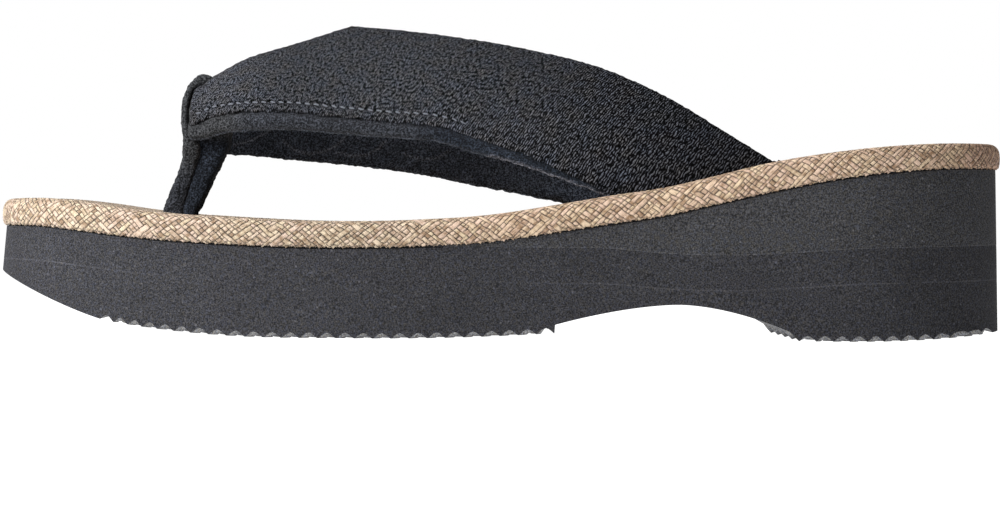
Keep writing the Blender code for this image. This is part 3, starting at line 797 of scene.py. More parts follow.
# A span of ridges, and the share of the pitch that each hollow takes up.
RidgeSpan = namedtuple("RidgeSpan", "start end hollow")
RIDGE_SPANS = rows(RidgeSpan, (26.2, 130.4, 0.93), (186.6, 233.5, 1.0))
HOLLOW_ROUNDNESS = 1.65
# The side wall of a layer: how far its lower edge is rounded in, and the rest as shares of its height.
Wall = namedtuple("Wall", "inset shares")
WALL = Wall(0.03, (0.004, 0.3, 0.7, 0.92))
TREAD_WALL = Wall(0.0, (0.16, 0.4, 0.7, 0.92))
# The top of a wall, as distances below its edge: it is cut back where the straw rim overhangs it.
Groove = namedtuple("Groove", "below inset")
GROOVE = rows(Groove, (0.42, 0.0), (0.34, 0.55), (0.0, 0.6))
GROOVE_UNDER_RIM = 0.3
GROOVE_FADE = 0.25
TOP_INSET = 0.02
# Shares across a layer's underside.
PLAIN_CUTS = np.linspace(0, 1, 5)
TREAD_CUTS = np.concatenate([[0.0, 0.004], np.linspace(0.016, 0.984, 68), [0.996, 1.0]])
SOLE_SHARP = 32
# The wedge starts a little behind the end of its skived edge, and its sections crowd round the heel.
WEDGE_START = 0.5
HEEL_ROUND = 30.0


def ridge_rows(settings):
    """Stations of the tread's mesh rows, with the share of a ridge's hollow at each."""
    found = []
    for span, first_pitch in zip(RIDGE_SPANS, (settings.toe_pitch, settings.ridge_pitch)):
        steps, at = [], 0.0
        while at < span.end - span.start:
            share = smooth_step(len(steps) / RIDGE_GROWTH)
            steps.append((first_pitch + (settings.ridge_pitch - first_pitch) * share) / MM)
            at += steps[-1]
        steps = np.array(steps) * (span.end - span.start) / at
        starts = span.start + np.concatenate([[0], np.cumsum(steps)])
        for start, pitch in zip(starts, steps):
            for phase in RIDGE_PHASES:
                off_centre = abs(2 * phase - 1) / span.hollow
                found.append((start + phase * pitch, max(0.0, 1 - off_centre**HOLLOW_ROUNDNESS)))
        found.append((span.end, 0.0))
    first, last = RIDGE_SPANS
    toe = [first.start * (1 - math.cos(math.pi * i / 48)) for i in range(24)]
    arch = [ARCH_START + 0.05, *np.linspace(ARCH_SLOPE_END, ARCH_REAR_END, 28), ARCH_REAR_END + 1.2]
    heel = [LENGTH - (LENGTH - last.end) * (1 - math.sin(math.pi * i / 28)) for i in range(1, 15)]
    return np.array(sorted(found + [(station, 0.0) for station in toe + arch + heel]))


def ridge_share(station):
    """How fully the ridges sway at a station: not at all where a span of them ends."""
    return np.maximum(*(
        smooth_step((station - span.start) / RIDGE_FADE) * smooth_step((span.end - station) / RIDGE_FADE)
        for span in RIDGE_SPANS
    ))


def layer_section(stations, under, top, joint, cuts, wall, wave=0.0, hollow=None):
    """Points, UVs and dusty, painted floor-light shares of a sole layer as closed cross-sections, one for each
    station.

    A UV is the place along the shoe and the height over the joint. The cuts are shares across the underside.
    """
    floor, roof, ground, rim = (surface(stations) for surface in (under, top, tread, footbed_under))
    lean = np.maximum(rim - ground, 1.0)
    bare = np.zeros(len(stations))
    from_heel = stations - HEEL_FLAT[0]

    def wall_points(side, height, inset):
        return edge_points(side, stations, SOLE_INSET_AT_FOOTBED * ((height - ground) / lean) + inset, height)

    lateral, medial = (wall_points(side, floor, wall.inset) for side in (LATERAL, MEDIAL))
    points, dust_and_light = [], []
    for v in cuts:
        row, dust_and_light_share = lateral * (1 - v) + medial * v, bare
        if hollow is not None:
            sway = wave * math.sin(2 * math.pi * RIDGE_WAVES * v)
            swayed = stations + ridge_share(stations) * sway
            recess = 0.5 - 0.5 * math.cos(2 * math.pi * HEEL_LOBES * v)
            bite = (HEEL_BITE * recess - HEEL_SKEW * v) * bell(from_heel, HEEL_BITE_REACH)
            cut = HEEL_RECESS * recess * bell(from_heel, HEEL_RECESS_REACH)
            row[:, 0] = swayed + bite - LENGTH / 2
            row[:, 2] = tread(swayed) + np.maximum(hollow, cut)
            if 0 < v < 1:
                # Pale in the hollows and on the heel's front slope: dusty, and painted floor light.
                slope = HEEL_DUST_AND_LIGHT * smooth_step((stations - HEEL_DUST_AND_LIGHT_START) / HEEL_DUST_AND_LIGHT_FADE) * (from_heel < 0)
                dust_and_light_share = np.maximum(smooth_step(hollow / HOLLOW_DUST_AND_LIGHT_DEPTH), slope)
        points.append(row)
        dust_and_light.append(dust_and_light_share)
    overhung = smooth_step((roof - rim + GROOVE_UNDER_RIM) / GROOVE_FADE)
    heights = [floor + (roof - floor) * share for share in wall.shares]
    lines = [(height, 0.0) for height in heights]
    lines += [(np.maximum(heights[0], roof - cut.below), cut.inset * overhung + TOP_INSET) for cut in GROOVE]
    for side, order in ((MEDIAL, lines), (LATERAL, lines[::-1])):
        points += [wall_points(side, height, inset) for height, inset in order]
        dust_and_light += [bare] * len(order)
    points.append(points[0])
    dust_and_light.append(dust_and_light[0])
    points = np.stack(points, axis=1)
    uvs = np.stack([points[..., 0], points[..., 2] - joint(stations)[:, None]], axis=-1)
    return points, uvs, np.stack(dust_and_light, axis=1)


class SETTA_OT_sponge_sole(bpy.types.Operator):
    """Builds the outsole with its wavy tread ridges, the midsole sheet and the heel wedge"""

    bl_idname = "setta.sponge_sole"
    bl_label = "Sponge sole"

    def execute(self, context):
        settings = context.scene.setta_sponge
        dust_and_light = settings.tread_dust_and_light_colour
        stations, hollows = ridge_rows(settings).T
        ridges = settings.ridge_wave / MM, hollows * (settings.ridge_depth / MM)
        layout = layer_section(stations, tread, midsole_under, midsole_under, TREAD_CUTS, TREAD_WALL, *ridges)
        material = sponge_material("ground_sponge_outsole", settings.outsole_colour, dust_and_light)
        piece("outsole_tread", closed(grid(*layout)), material, ["outsole"], SOLE_SHARP)

        stations = dense_at_ends(121)
        layout = layer_section(stations, midsole_under, midsole_top, midsole_under, PLAIN_CUTS, WALL)
        material = sponge_material("ground_sponge_midsole", settings.midsole_colour, dust_and_light)
        piece("midsole_sheet", closed(grid(*layout)), material, ["midsole"], SOLE_SHARP)

        even = np.linspace(WEDGE_ROWS[0].station + WEDGE_START, LENGTH - HEEL_ROUND, 70)
        stations = np.append(even, stations[stations > LENGTH - HEEL_ROUND + 0.5])
        layout = layer_section(stations, wedge_line, footbed_under, wedge_line, PLAIN_CUTS, WALL)
        material = sponge_material("ground_sponge_wedge", settings.wedge_colour, dust_and_light)
        piece("heel_wedge_block", closed(grid(*layout)), material, ["heel_wedge"], SOLE_SHARP)
        return {"FINISHED"}


# ---- The footbed ----

# The rim's profile, from the footbed's top round to its underside: inset from the outline, height share.
RIM = (
    (3.6, 1.0), (2.7, 0.993), (2.0, 0.975), (1.4, 0.94), (0.9, 0.885), (0.5, 0.80), (0.2, 0.69), (0.05, 0.56),
    (0.0, 0.42), (0.0, 0.29), (0.05, 0.17), (0.2, 0.07), (0.6, 0.01), (2.0, 0.0),
)
TOP_ACROSS = 40
RIM_COVER = 0.45
OVER_SPONGE = 0.05
UNDER_BINDING = 0.1
# The bias strip: its mesh's step, the relief of its yarns, its return under the footbed, its frayed edge.
BINDING_CUT = 0.27
BINDING_RELIEF = 0.2
BINDING_LEVEL = 0.35
BINDING_FADE = 1.2
BINDING_RETURN = ((1.6, 0.12), (3.0, 0.35), (4.2, 0.7))
FRAY = 0.26
FRAY_START = 3.2
FRAY_FADE = 1.5


def wobbled(u, v, lean):
    """A place on a hand-laid weave, in millimetres, a little off its true rows, with yarns of uneven width."""
    bend = 0.06 * np.sin(0.9 * u + 1.1 * v) + 0.05 * np.sin(2.3 * u - 0.9 * v + 1.0) + 0.16 * np.sin(0.31 * u + 2.0)
    u, v = u + bend, v + 0.06 * np.sin(1.3 * u + 0.8 * v + 0.5) + 0.10 * np.sin(0.27 * u)
    first, second = math.cos(lean) * v - math.sin(lean) * u, math.cos(lean) * v + math.sin(lean) * u
    first = first + 0.11 * np.sin(1.9 * first) + 0.09 * np.sin(3.1 * first + 1.0)
    second = second + 0.11 * np.sin(2.2 * second) + 0.09 * np.sin(2.9 * second + 2.0)
    return (second - first) / (2 * math.sin(lean)), (second + first) / (2 * math.cos(lean))


def weave_height(u, v, settings):
    """Height of the woven straw at places in millimetres, from 0 in a gap to 1 on a yarn, as its shader has it."""
    pitch = settings.pitch / MM
    sine, cosine = math.sin(settings.lean) * u, math.cos(settings.lean) * v
    a, b = (cosine - sine) / pitch, (cosine + sine) / pitch

    def over(row, line):
        count = row * (3 * row + 7 * line + 11) + line * (5 * line + 13)
        return np.abs((row + line) % 2 - (count % FLOAT_CYCLE < FLOAT_SHARE))

    row, line = np.floor(a), np.floor(b)
    from_a, from_b = a - row - 0.5, b - line - 0.5
    top = over(row, line)
    beyond = over(row + np.sign(from_a) * (1 - top), line + np.sign(from_b) * top)
    side = np.where(top > 0.5, from_a, from_b)
    run = np.where(top > 0.5, from_b, from_a)
    arch = 1 - YARN_DIP * np.abs(2 * run) ** YARN_END * np.abs(top - beyond)
    return np.maximum(0, (1 - np.abs(2 * side) ** YARN_EDGE) * arch)


def outline_walk(spacing):
    """Even steps round the footbed's outline: stations, sideways places and outward ways, then distances."""
    fine = dense_at_ends(3001)
    halves = [
        np.column_stack([order, side.sign * half_width(side, order), *outward(side, order)])
        for side, order in ((LATERAL, fine), (MEDIAL, fine[::-1]))
    ]
    walk = np.concatenate([halves[0], halves[1][1:]])
    run = distances_along(walk[:, :2])
    even = np.linspace(0, run[-1], int(run[-1] / spacing) + 1)
    return np.column_stack([np.interp(even, run, values) for values in walk.T]), even


def binding_mesh(settings):
    """The bias strip of woven straw round the footbed's rim, its yarns raised, its lower edge frayed."""
    walk, u = outline_walk(BINDING_CUT)
    station, y = walk[:, 0], walk[:, 1]
    ways = np.column_stack([unit(walk[:, 2:]), 0 * u])[:, None]
    under, top = footbed_under(station) + OVER_SPONGE, footbed_top(station)
    outline = np.column_stack([station - LENGTH / 2, y, under])[:, None]
    thick = (top - under)[:, None]
    usual = np.median(thick)
    profile = np.array([(-inset, share * usual) for inset, share in RIM])
    reach = distances_along(profile)
    v = np.linspace(0, reach[-1], int(reach[-1] / BINDING_CUT) + 1)
    inset = -np.interp(v, reach, profile[:, 0])
    share = np.interp(v, reach, profile[:, 1]) / usual
    cover = wobbled(*np.broadcast_arrays(u[:, None], v), settings.lean)
    fade = smooth_step(v / BINDING_FADE) * smooth_step((reach[-1] - v) / BINDING_FADE)
    height = weave_height(*cover, settings) * fade
    ends = np.sin(4.1 * u) * np.sin(1.7 * u + 1) + 0.6 * np.sin(9.3 * u + 2)
    frayed = FRAY * smooth_step((v - reach[-1] + FRAY_START) / FRAY_FADE) * ends[:, None]
    lift = share * thick + frayed * (1 - share)
    points = outline - inset[:, None] * ways + lift[..., None] * UP
    around = np.gradient(points, axis=0)
    around[0] = around[-1] = points[1] - points[-2]
    normals = unit(np.cross(np.gradient(points, axis=1), around))
    normals *= np.sign((normals * ways).sum(axis=2).mean())
    points += normals * (BINDING_RELIEF * (height - BINDING_LEVEL) * fade)[..., None]
    back = [outline - inset * ways + share * thick[..., None] * UP for inset, share in BINDING_RETURN]
    points = np.concatenate([points, *back, points[:, :1]], axis=1)
    points[-1] = points[0]
    spare = np.linspace(0, 1, len(back) + 1)
    runs = zip(cover, (0 * spare, spare))
    uvs = np.stack([np.concatenate([place, place[:, -1:] + run], axis=1) for place, run in runs], axis=-1)
    return closed(grid(points, uvs))


class SETTA_OT_footbed(bpy.types.Operator):
    """Builds the footbed's straw cover, and the straw strip bound round its rim"""

    bl_idname = "setta.footbed"
    bl_label = "Footbed"

    def execute(self, context):
        settings = context.scene.setta_straw
        stations = dense_at_ends(241)
        under, top = footbed_under(stations) + OVER_SPONGE, footbed_top(stations) - UNDER_BINDING
        lateral, medial = (
            [edge_points(side, stations, inset + RIM_COVER, under + share * (top - under)) for inset, share in RIM]
            for side in (LATERAL, MEDIAL)
        )
        # One loop round each cross-section: top, medial rim, underside, lateral rim.
        points = [lateral[0] * (1 - v) + medial[0] * v for v in np.linspace(0, 1, TOP_ACROSS)]
        points += medial[1:] + lateral[:0:-1] + [lateral[0]]
        points = np.stack(points, axis=1)
        uvs = np.stack(wobbled(points[..., 0], points[..., 1], settings.lean), axis=-1)
        material = straw_material(settings)
        piece("footbed_cover", closed(grid(points, uvs)), material, ["footbed"])
        piece("footbed_binding", binding_mesh(settings), material, ["footbed"])
        return {"FINISHED"}


# ---- The straps ----

FORK_STEP = len(SEAM_ROWS) - 1
LAST_STEP = len(LATERAL_OUTER) - 1
# Sections of a strap piece, close together at its front end and then even, as steps along the table rows.
FRONT_STEPS = np.array([0.0, 0.02, 0.05, 0.09, 0.14, 0.2, 0.28, 0.38, 0.5, 0.6, 0.72, 0.85])
STEPS_PER_ROW = 10
CLOTH_STEPS_PER_ROW = 34
CROWN_STEPS_PER_ROW = 3
BASE_DEPTH = 3.0
WALL_THICKNESS = 2.8


class Strap:
    """One strap's outer face as a surface: a step along its table rows, and a share across its width."""

    def __init__(self, side, outer_rows, inner_rows):
        self.side = side
        self.outer = np.array([row[:3] for row in outer_rows])
        self.crowns = np.array([row.crown for row in outer_rows])
        self.lips = np.array([row.lip for row in outer_rows])
        self.seam = np.array(SEAM_ROWS)
        self.behind = np.vstack([self.seam[-1:], np.array(inner_rows)])
        self.coarse = np.arange(LAST_STEP * CROWN_STEPS_PER_ROW + 1) / CROWN_STEPS_PER_ROW
        low, high = self.low(self.coarse), self.high(self.coarse)
        self.normals = unit(np.cross(np.gradient((low + high) / 2, axis=0), high - low) * -side.sign)

    def low(self, steps):
        return through_rows(self.outer, steps)

    def high(self, steps):
        front = through_rows(self.seam, np.minimum(steps, FORK_STEP))
        rear = through_rows(self.behind, np.maximum(steps - FORK_STEP, 0))
        return np.where((steps <= FORK_STEP)[:, None], front, rear)

    def lip(self, steps):
        return np.interp(steps, range(len(self.lips)), self.lips)

    def crown_ways(self, steps):
        return unit(np.column_stack([np.interp(steps, self.coarse, values) for values in self.normals.T]))

    def face(self, steps, share):
        """Points at these steps, at one share across or one for each step."""
        low, high = self.low(steps), self.high(steps)
        crown = through_rows(self.crowns, steps)
        v = np.broadcast_to(share, steps.shape)[:, None]
        return low + (high - low) * v + self.crown_ways(steps) * (crown[:, None] * 4 * v * (1 - v))

    def width(self, steps):
        sides = np.stack([self.face(steps, v) for v in np.linspace(0, 1, 9)], axis=1)
        return np.linalg.norm(np.diff(sides, axis=1), axis=2).sum(axis=1)

    def at(self, steps, distance, offset):
        """Points at a distance from the lower edge, in millimetres, and this far off the face, with its normals."""
        v = np.clip(distance / self.width(steps), -0.2, 1.2)
        across = self.face(steps, v + SLOPE_STEP) - self.face(steps, v - SLOPE_STEP)
        ahead, back = (np.clip(steps + step, 0, LAST_STEP) for step in (SLOPE_STEP, -SLOPE_STEP))
        normals = unit(np.cross(self.face(ahead, v) - self.face(back, v), across) * -self.side.sign)
        return self.face(steps, v) + normals * np.broadcast_to(offset, steps.shape)[:, None], normals

    def sections(self, path, start=0.0, steps_per_row=STEPS_PER_ROW):
        """Points of a piece: path gives (distance, offset) arrays for the steps, one pair for each column."""
        even = np.linspace(start + 1, LAST_STEP, (LAST_STEP - 1) * steps_per_row + 1)
        steps = np.concatenate([start + FRONT_STEPS, even])
        columns = [self.at(steps, distance, offset)[0] for distance, offset in path(steps, self.width(steps))]
        return np.stack(columns, axis=1), steps


STRAPS = {
    "outer_side": Strap(LATERAL, LATERAL_OUTER, LATERAL_INNER),
    "inner_side": Strap(MEDIAL, MEDIAL_OUTER, MEDIAL_INNER),
}


def rooted(points):
    """Bends the last sections upright and takes them down into the footbed's slot."""
    points = points.copy()
    points[-1, :, 2] = footbed_top(points[-1, :, 0] + LENGTH / 2)
    return np.concatenate([points, points[-1:], points[-1:] - BASE_DEPTH * UP])


# The hem's profile, from its turned-in edge to the face: distance from the lip, and height off the felt.
HEM = (
    (1.8, -0.35), (0.7, -0.32), (0.15, -0.18), (0.0, 0.06), (0.12, 0.34), (0.45, 0.52), (1.1, 0.64), (1.7, 0.58),
    (2.1, 0.36), (2.35, 0.26), (2.6, 0.34), (3.1, 0.46),
)
HEM_PROUD = 0.45
HEM_WOBBLE, HEM_WOBBLES_PER_STEP = 0.35, 6.0
HEM_TO_FACE = 0.6
CREST_ROUNDS = 9
MAIN_ACROSS = 84
# The cloth's front edge is tucked into the felt.
CLOTH_START = 0.24
CLOTH_TUCK = 1.3
CLOTH_TUCK_END = 0.16
CLOTH_THICKNESS = 0.35
# The crepe's relief in millimetres and its cells a millimetre, and the dent round the end of each stitch.
CREPE_RELIEF = 0.2
CREPE_CELLS = (1.15, 1.15, 1.6)
DENT_DEPTH = 0.28
DENT_REACH = 0.45
GRAIN_LEAN = 0.6
GRAIN_GROWTH = 0.004
GRAIN_PLAIN_AT = -20.0
GRAIN_MIDDLE = 60.0
# Painted light and shade along the crepe, as how pale it is: paler at the toe, nearest the key light, and deep black
# at the base.
CREPE_PAINTED_SHADING_ROWS = (
    (-80.0, 0.65), (-66.0, 0.59), (-50.0, 0.42), (-20.0, 0.475), (0.0, 0.445), (30.0, 0.335), (48.0, 0.235),
    (70.0, 0.18),
)
# The needle holes round the stitch ends are darkened as painted shade.
HOLE_PAINTED_SHADE = 0.8
HOLE_REACH = 0.42
# Over the crest, the cloth's fold down the lining; at the centre seam, its depth and where that opens.
FOLD_OVER = 8.0
FOLD_END, FOLD_LIFT = 0.4, 0.5
SEAM_DEPTH = 1.6
SEAM_START = 0.15
SEAM_OPENING = 0.5
SEAM_GAP = 0.12
SEAM_PROUD = 0.6
INNER_PROUD = 0.35


def cloth_mesh(strap, proud, stitch_ends):
    """The crepe of one strap: hem, face, then over the crest, or down into the centre seam."""
    sign = strap.side.sign
    radius = (WALL_THICKNESS + proud + INNER_PROUD) / 2

    def path(steps, width):
        tuck = CLOTH_TUCK * (1 - smooth_step((steps - CLOTH_START) / CLOTH_TUCK_END)) ** 2
        lip = strap.lip(steps) + HEM_WOBBLE * noise_at([(HEM_WOBBLES_PER_STEP * step, 0.0, 3.7) for step in steps])
        for distance, offset in HEM:
            yield lip + distance, offset * proud / HEM_PROUD - tuck
        start, stop = lip + HEM[-1][0] + HEM_TO_FACE, width - radius
        for share in np.linspace(0, 1, MAIN_ACROSS):
            yield start + (stop - start) * share, proud - tuck
        for angle in np.linspace(math.pi / 2, -math.pi / 2, CREST_ROUNDS)[1:]:
            yield width - radius + radius * math.cos(angle), proud - radius + radius * math.sin(angle)
        for back in np.linspace(2.0, FOLD_OVER, 4):
            yield width - radius - back, proud - 2 * radius
        yield width - radius - FOLD_OVER - FOLD_END, proud - 2 * radius + FOLD_LIFT

    points, steps = strap.sections(path, CLOTH_START, CLOTH_STEPS_PER_ROW)
    # Before the fork, what would go over the crest goes down into the centre seam.
    seam = strap.high(steps)
    share = 1 - smooth_step((steps - FORK_STEP) / SEAM_OPENING)[:, None]
    last_main = len(HEM) + MAIN_ACROSS
    for i, down in enumerate(np.linspace(SEAM_START, SEAM_DEPTH, points.shape[1] - last_main), last_main):
        target = seam + np.array([0.0, sign * SEAM_GAP, proud * SEAM_PROUD - down])
        points[:, i] = target * share + points[:, i] * (1 - share)
    points = rooted(points)
    # The cloth is cut from straight goods, so its grain runs along the shoe, and its strokes grow to the rear.
    growth = 1 + GRAIN_GROWTH * (points[..., 0] - GRAIN_PLAIN_AT)
    rise = points[..., 2] - sign * GRAIN_LEAN * points[..., 1] - GRAIN_MIDDLE
    uvs = np.stack([np.log(growth) / GRAIN_GROWTH, rise / growth], axis=-1)
    normals = unit(np.cross(np.gradient(points, axis=0), np.gradient(points, axis=1)) * -sign)
    places = points.reshape(-1, 3)
    near = distances_to(stitch_ends, places).reshape(growth.shape)
    crepe = noise_at(places * CREPE_CELLS).reshape(growth.shape)
    lift = CREPE_RELIEF * crepe - DENT_DEPTH * bell(near, DENT_REACH)
    # Painted light and shade along the shoe, and painted shade in the stitch holes.
    painted_shading = np.interp(points[..., 0], *zip(*CREPE_PAINTED_SHADING_ROWS)) * (1 - HOLE_PAINTED_SHADE * bell(near, HOLE_REACH))
    mesh = grid(points + normals * lift[..., None], uvs, painted_shading)
    if sign < 0:
        bmesh.ops.reverse_faces(mesh, faces=mesh.faces)
    return mesh


STITCH_LINE = 2.35
STITCH_HEIGHT = 0.22
STITCH_RADIUS = 0.23
# The first and last steps of the stitched line.
STITCH_STEPS = (0.62, LAST_STEP - 0.4)
# From this far along the hem, the stitches are pulled down into the crepe.
STITCH_CLEAR = 65.0
STITCH_FADE = 0.4
STITCH_FADE_LENGTH = 12.0


def sewn(strap, settings):
    """Both ends of each stitch along a strap's hem, and the cloth's normal there, in millimetres."""
    luck = random.Random(7)
    steps = np.linspace(*STITCH_STEPS, 500)
    line, normals = strap.at(steps, strap.lip(steps) + STITCH_LINE, STITCH_HEIGHT)
    run = distances_along(line)
    pitch, length = settings.stitch_pitch / MM, settings.stitch_length / MM

    def on_line(numbers, at):
        return Vector([np.interp(at, run, values) for values in numbers.T])

    stitches = []
    for k in range(int(run[-1] / pitch)):
        middle = (k + 0.5) * pitch + luck.uniform(-0.1, 0.1)
        half = length / 2 * luck.uniform(0.88, 1.1)
        up = on_line(normals, middle).normalized()
        sink = up * (STITCH_FADE * smooth_step((middle - STITCH_CLEAR) / STITCH_FADE_LENGTH))
        start, end = on_line(line, middle - half) - sink, on_line(line, middle + half) - sink
        aside = up.cross(end - start).normalized() * luck.uniform(0.02, 0.22) * strap.side.sign
        stitches.append((start - aside, end + aside, up))
    return stitches


class SETTA_OT_cloth(bpy.types.Operator):
    """Builds the crepe cloth of both straps, folded over their crests and turned down into the centre seam"""

    bl_idname = "setta.cloth"
    bl_label = "Strap cloth"

    def execute(self, context):
        settings = context.scene.setta_straps
        material = crepe_material(settings)
        for name, strap in STRAPS.items():
            ends = [end for stitch in sewn(strap, settings) for end in stitch[:2]]
            mesh = cloth_mesh(strap, settings.proud / MM, ends)
            made = piece("cloth_" + name, mesh, material, ["upper"])
            wall = made.modifiers.new("cloth", "SOLIDIFY")
            wall.thickness = CLOTH_THICKNESS * MM
            wall.offset = -1
        return {"FINISHED"}


# ---- The felt ----

LIP_PROUD = 0.75
FELT_UNDER_CLOTH = -0.45
FELT_ACROSS = 26
# The lip from its lower edge up: share of its height, and share of LIP_PROUD off the face.
LIP_PROFILE = ((0.10, 0.0), (0.20, 0.6), (0.36, 0.95), (0.52, 1.0), (0.68, 0.75), (0.85, 0.35))
# The crest and the lining's lower edge: distance from the crest or from the lower edge, and height off the face.
FELT_CREST = ((1.1, -0.75), (0.75, -1.5), (1.1, -2.3))
FELT_LIP = ((3.4, -2.7), (2.0, -2.6), (1.0, -2.3), (0.3, -1.8), (0.0, -1.1), (0.05, -0.5))
LINING_START = 4.8
# How far the felt's core under the cloth stays inside the lip, and inside the crest.
CORE_BELOW, CORE_ABOVE = 2.4, 2.2
FELT_NOSE = 0.4
FELT_NOSE_SHARE = 0.80
FELT_SMOOTH = 4
# The height in millimetres and the cells a millimetre of the felt's lumps, and of its nap.
FELT_LUMPS, LUMP_CELLS = 0.22, 0.42
FELT_NAP, NAP_CELLS = 0.25, 1.3
LINING_VOXEL, POST_VOXEL = 0.5, 0.35
# Painted light and shade along the shoe, as how pale the felt is: on the outer side's lip, and on the inner side's
# lining, which takes a painted shadow under the outer lip near the toe.
LIP_PAINTED_SHADING_ROWS = (
    (-62.0, 1.0), (-48.0, 0.78), (-37.0, 0.74), (-26.0, 1.0), (-19.0, 0.85), (-13.0, 0.72), (-5.0, 1.1), (10.0, 1.1),
)
LINING_PAINTED_SHADING_ROWS = ((-66.0, 1.0), (-57.0, 0.64), (-44.0, 0.72), (-30.0, 1.05), (-15.0, 1.0), (5.0, 1.25))
# Creases of the inner side's lining, as (along, up) lines in the shoe's own place.
CREASES = (
    ((-64.5, 44.8), (-61.5, 45.6), (-58.5, 47.0), (-56.0, 48.5)),
    ((-53.0, 46.0), (-50.5, 43.8), (-47.0, 42.9), (-43.0, 43.6), (-40.0, 45.3), (-37.8, 47.5)),
    ((-40.5, 43.4), (-36.5, 42.5), (-33.0, 42.8), (-30.0, 44.6), (-28.5, 46.2)),
    ((-24.0, 43.2), (-20.0, 41.9), (-16.0, 42.4), (-13.0, 44.0)),
)
LINING_SIDE = 12
CREASE_HEIGHT = 0.3
CREASE_REACH = 0.4
# The crease ridges are painted paler in the glint colour: rubbed nap, and a painted highlight.
CREASE_PALE = 0.28
# The frayed part of the outer strap's lower edge, from this step back.
EDGE_START = 8.4
EDGE_REACH = 0.75
EDGE_RISE = 0.25
EDGE_CELLS = 1.9
EDGE_PALE = 0.6
# Where the felt's painted shade and light change its colour: painted shade round the post and up to its hood, painted
# light on the hood and at the toe, and painted shade on the rear lip.
POST_REACH, POST_TOP = 6.2, 47.0
HOOD_START = 34.0
TOE_END = -58.0
REAR_LIP_START = -24.0
FRONT_LAYER = "felt_post_front"


def felt_mesh(strap):
    """The felt of one strap: outer lip, core under the cloth, crest, and the lining back down."""

    def path(steps, width):
        lip = strap.lip(steps)
        for share, rise in LIP_PROFILE:
            yield lip * share, LIP_PROUD * rise
        yield lip * 0.95, -0.4
        yield lip + 0.3, -0.6
        yield lip + 1.4, FELT_UNDER_CLOTH
        start, stop = lip + CORE_BELOW, width - CORE_ABOVE
        for share in np.linspace(0, 1, FELT_ACROSS):
            yield start + (stop - start) * share, FELT_UNDER_CLOTH
        for back, offset in FELT_CREST:
            yield width - back, offset
        for share in np.linspace(1, 0, FELT_ACROSS):
            yield LINING_START + (stop - LINING_START) * share, -WALL_THICKNESS
        for distance, offset in FELT_LIP:
            yield np.full_like(steps, distance), offset
        yield lip * LIP_PROFILE[0][0], 0.0

    points, steps = strap.sections(path)
    # The front end is rounded: its sections shrink towards their middles.
    full = np.sqrt(1 - (1 - np.clip(steps / FELT_NOSE, 0.04, 1)) ** 2)
    full = np.where(steps < FELT_NOSE, FELT_NOSE_SHARE + (1 - FELT_NOSE_SHARE) * full, 1.0)[:, None, None]
    middles = points.mean(axis=1, keepdims=True)
    points = rooted(middles + (points - middles) * full)
    return closed(grid(points, points[..., :2]))


def post_mesh(layer):
    """One felt layer of the toe post, lofted along its path with rounded rectangles as sections."""
    x, z, half_depth, half_width = through_rows(layer, np.linspace(0, len(layer) - 1, (len(layer) - 1) * 6 + 1)).T
    ways = unit(np.gradient(np.column_stack([x, z]), axis=0))
    angles = np.linspace(0, 2 * math.pi, 41)
    depth, across = (
        half[:, None] * np.sign(turn) * np.abs(turn) ** (2 / POST_ROUNDNESS)
        for half, turn in ((half_depth, np.cos(angles)), (half_width, np.sin(angles)))
    )
    points = np.stack(
        [x[:, None] - depth * ways[:, 1:2], POST_Y + across, z[:, None] + depth * ways[:, 0:1]], axis=-1
    )
    return closed(grid(points, points[..., :2]))


def creased(places, normals):
    """How fully each place on the felt is raised by the listed creases."""
    near = np.full(len(places), math.inf)
    flat = places[:, [0, 2]]
    for line in CREASES:
        for start, end in zip(np.array(line[:-1]), np.array(line[1:])):
            way = end - start
            share = np.clip(((flat - start) @ way) / (way @ way), 0, 1)
            near = np.minimum(near, np.linalg.norm(flat - start - share[:, None] * way, axis=1))
    lining = (places[:, 1] > LINING_SIDE) & (normals[:, 1] < 0)
    return np.where(lining, bell(near, CREASE_REACH), 0.0)


def frayed_edge(places):
    """How frayed each place on the felt is: the outer strap's lower edge, from its middle back to its base."""
    edge = STRAPS["outer_side"].low(np.linspace(EDGE_START, LAST_STEP, 120))
    patchy = np.clip(0.6 + 1.6 * noise_at(places, EDGE_CELLS), 0, 1)
    return patchy * bell(distances_to(edge, places), EDGE_REACH, 4)


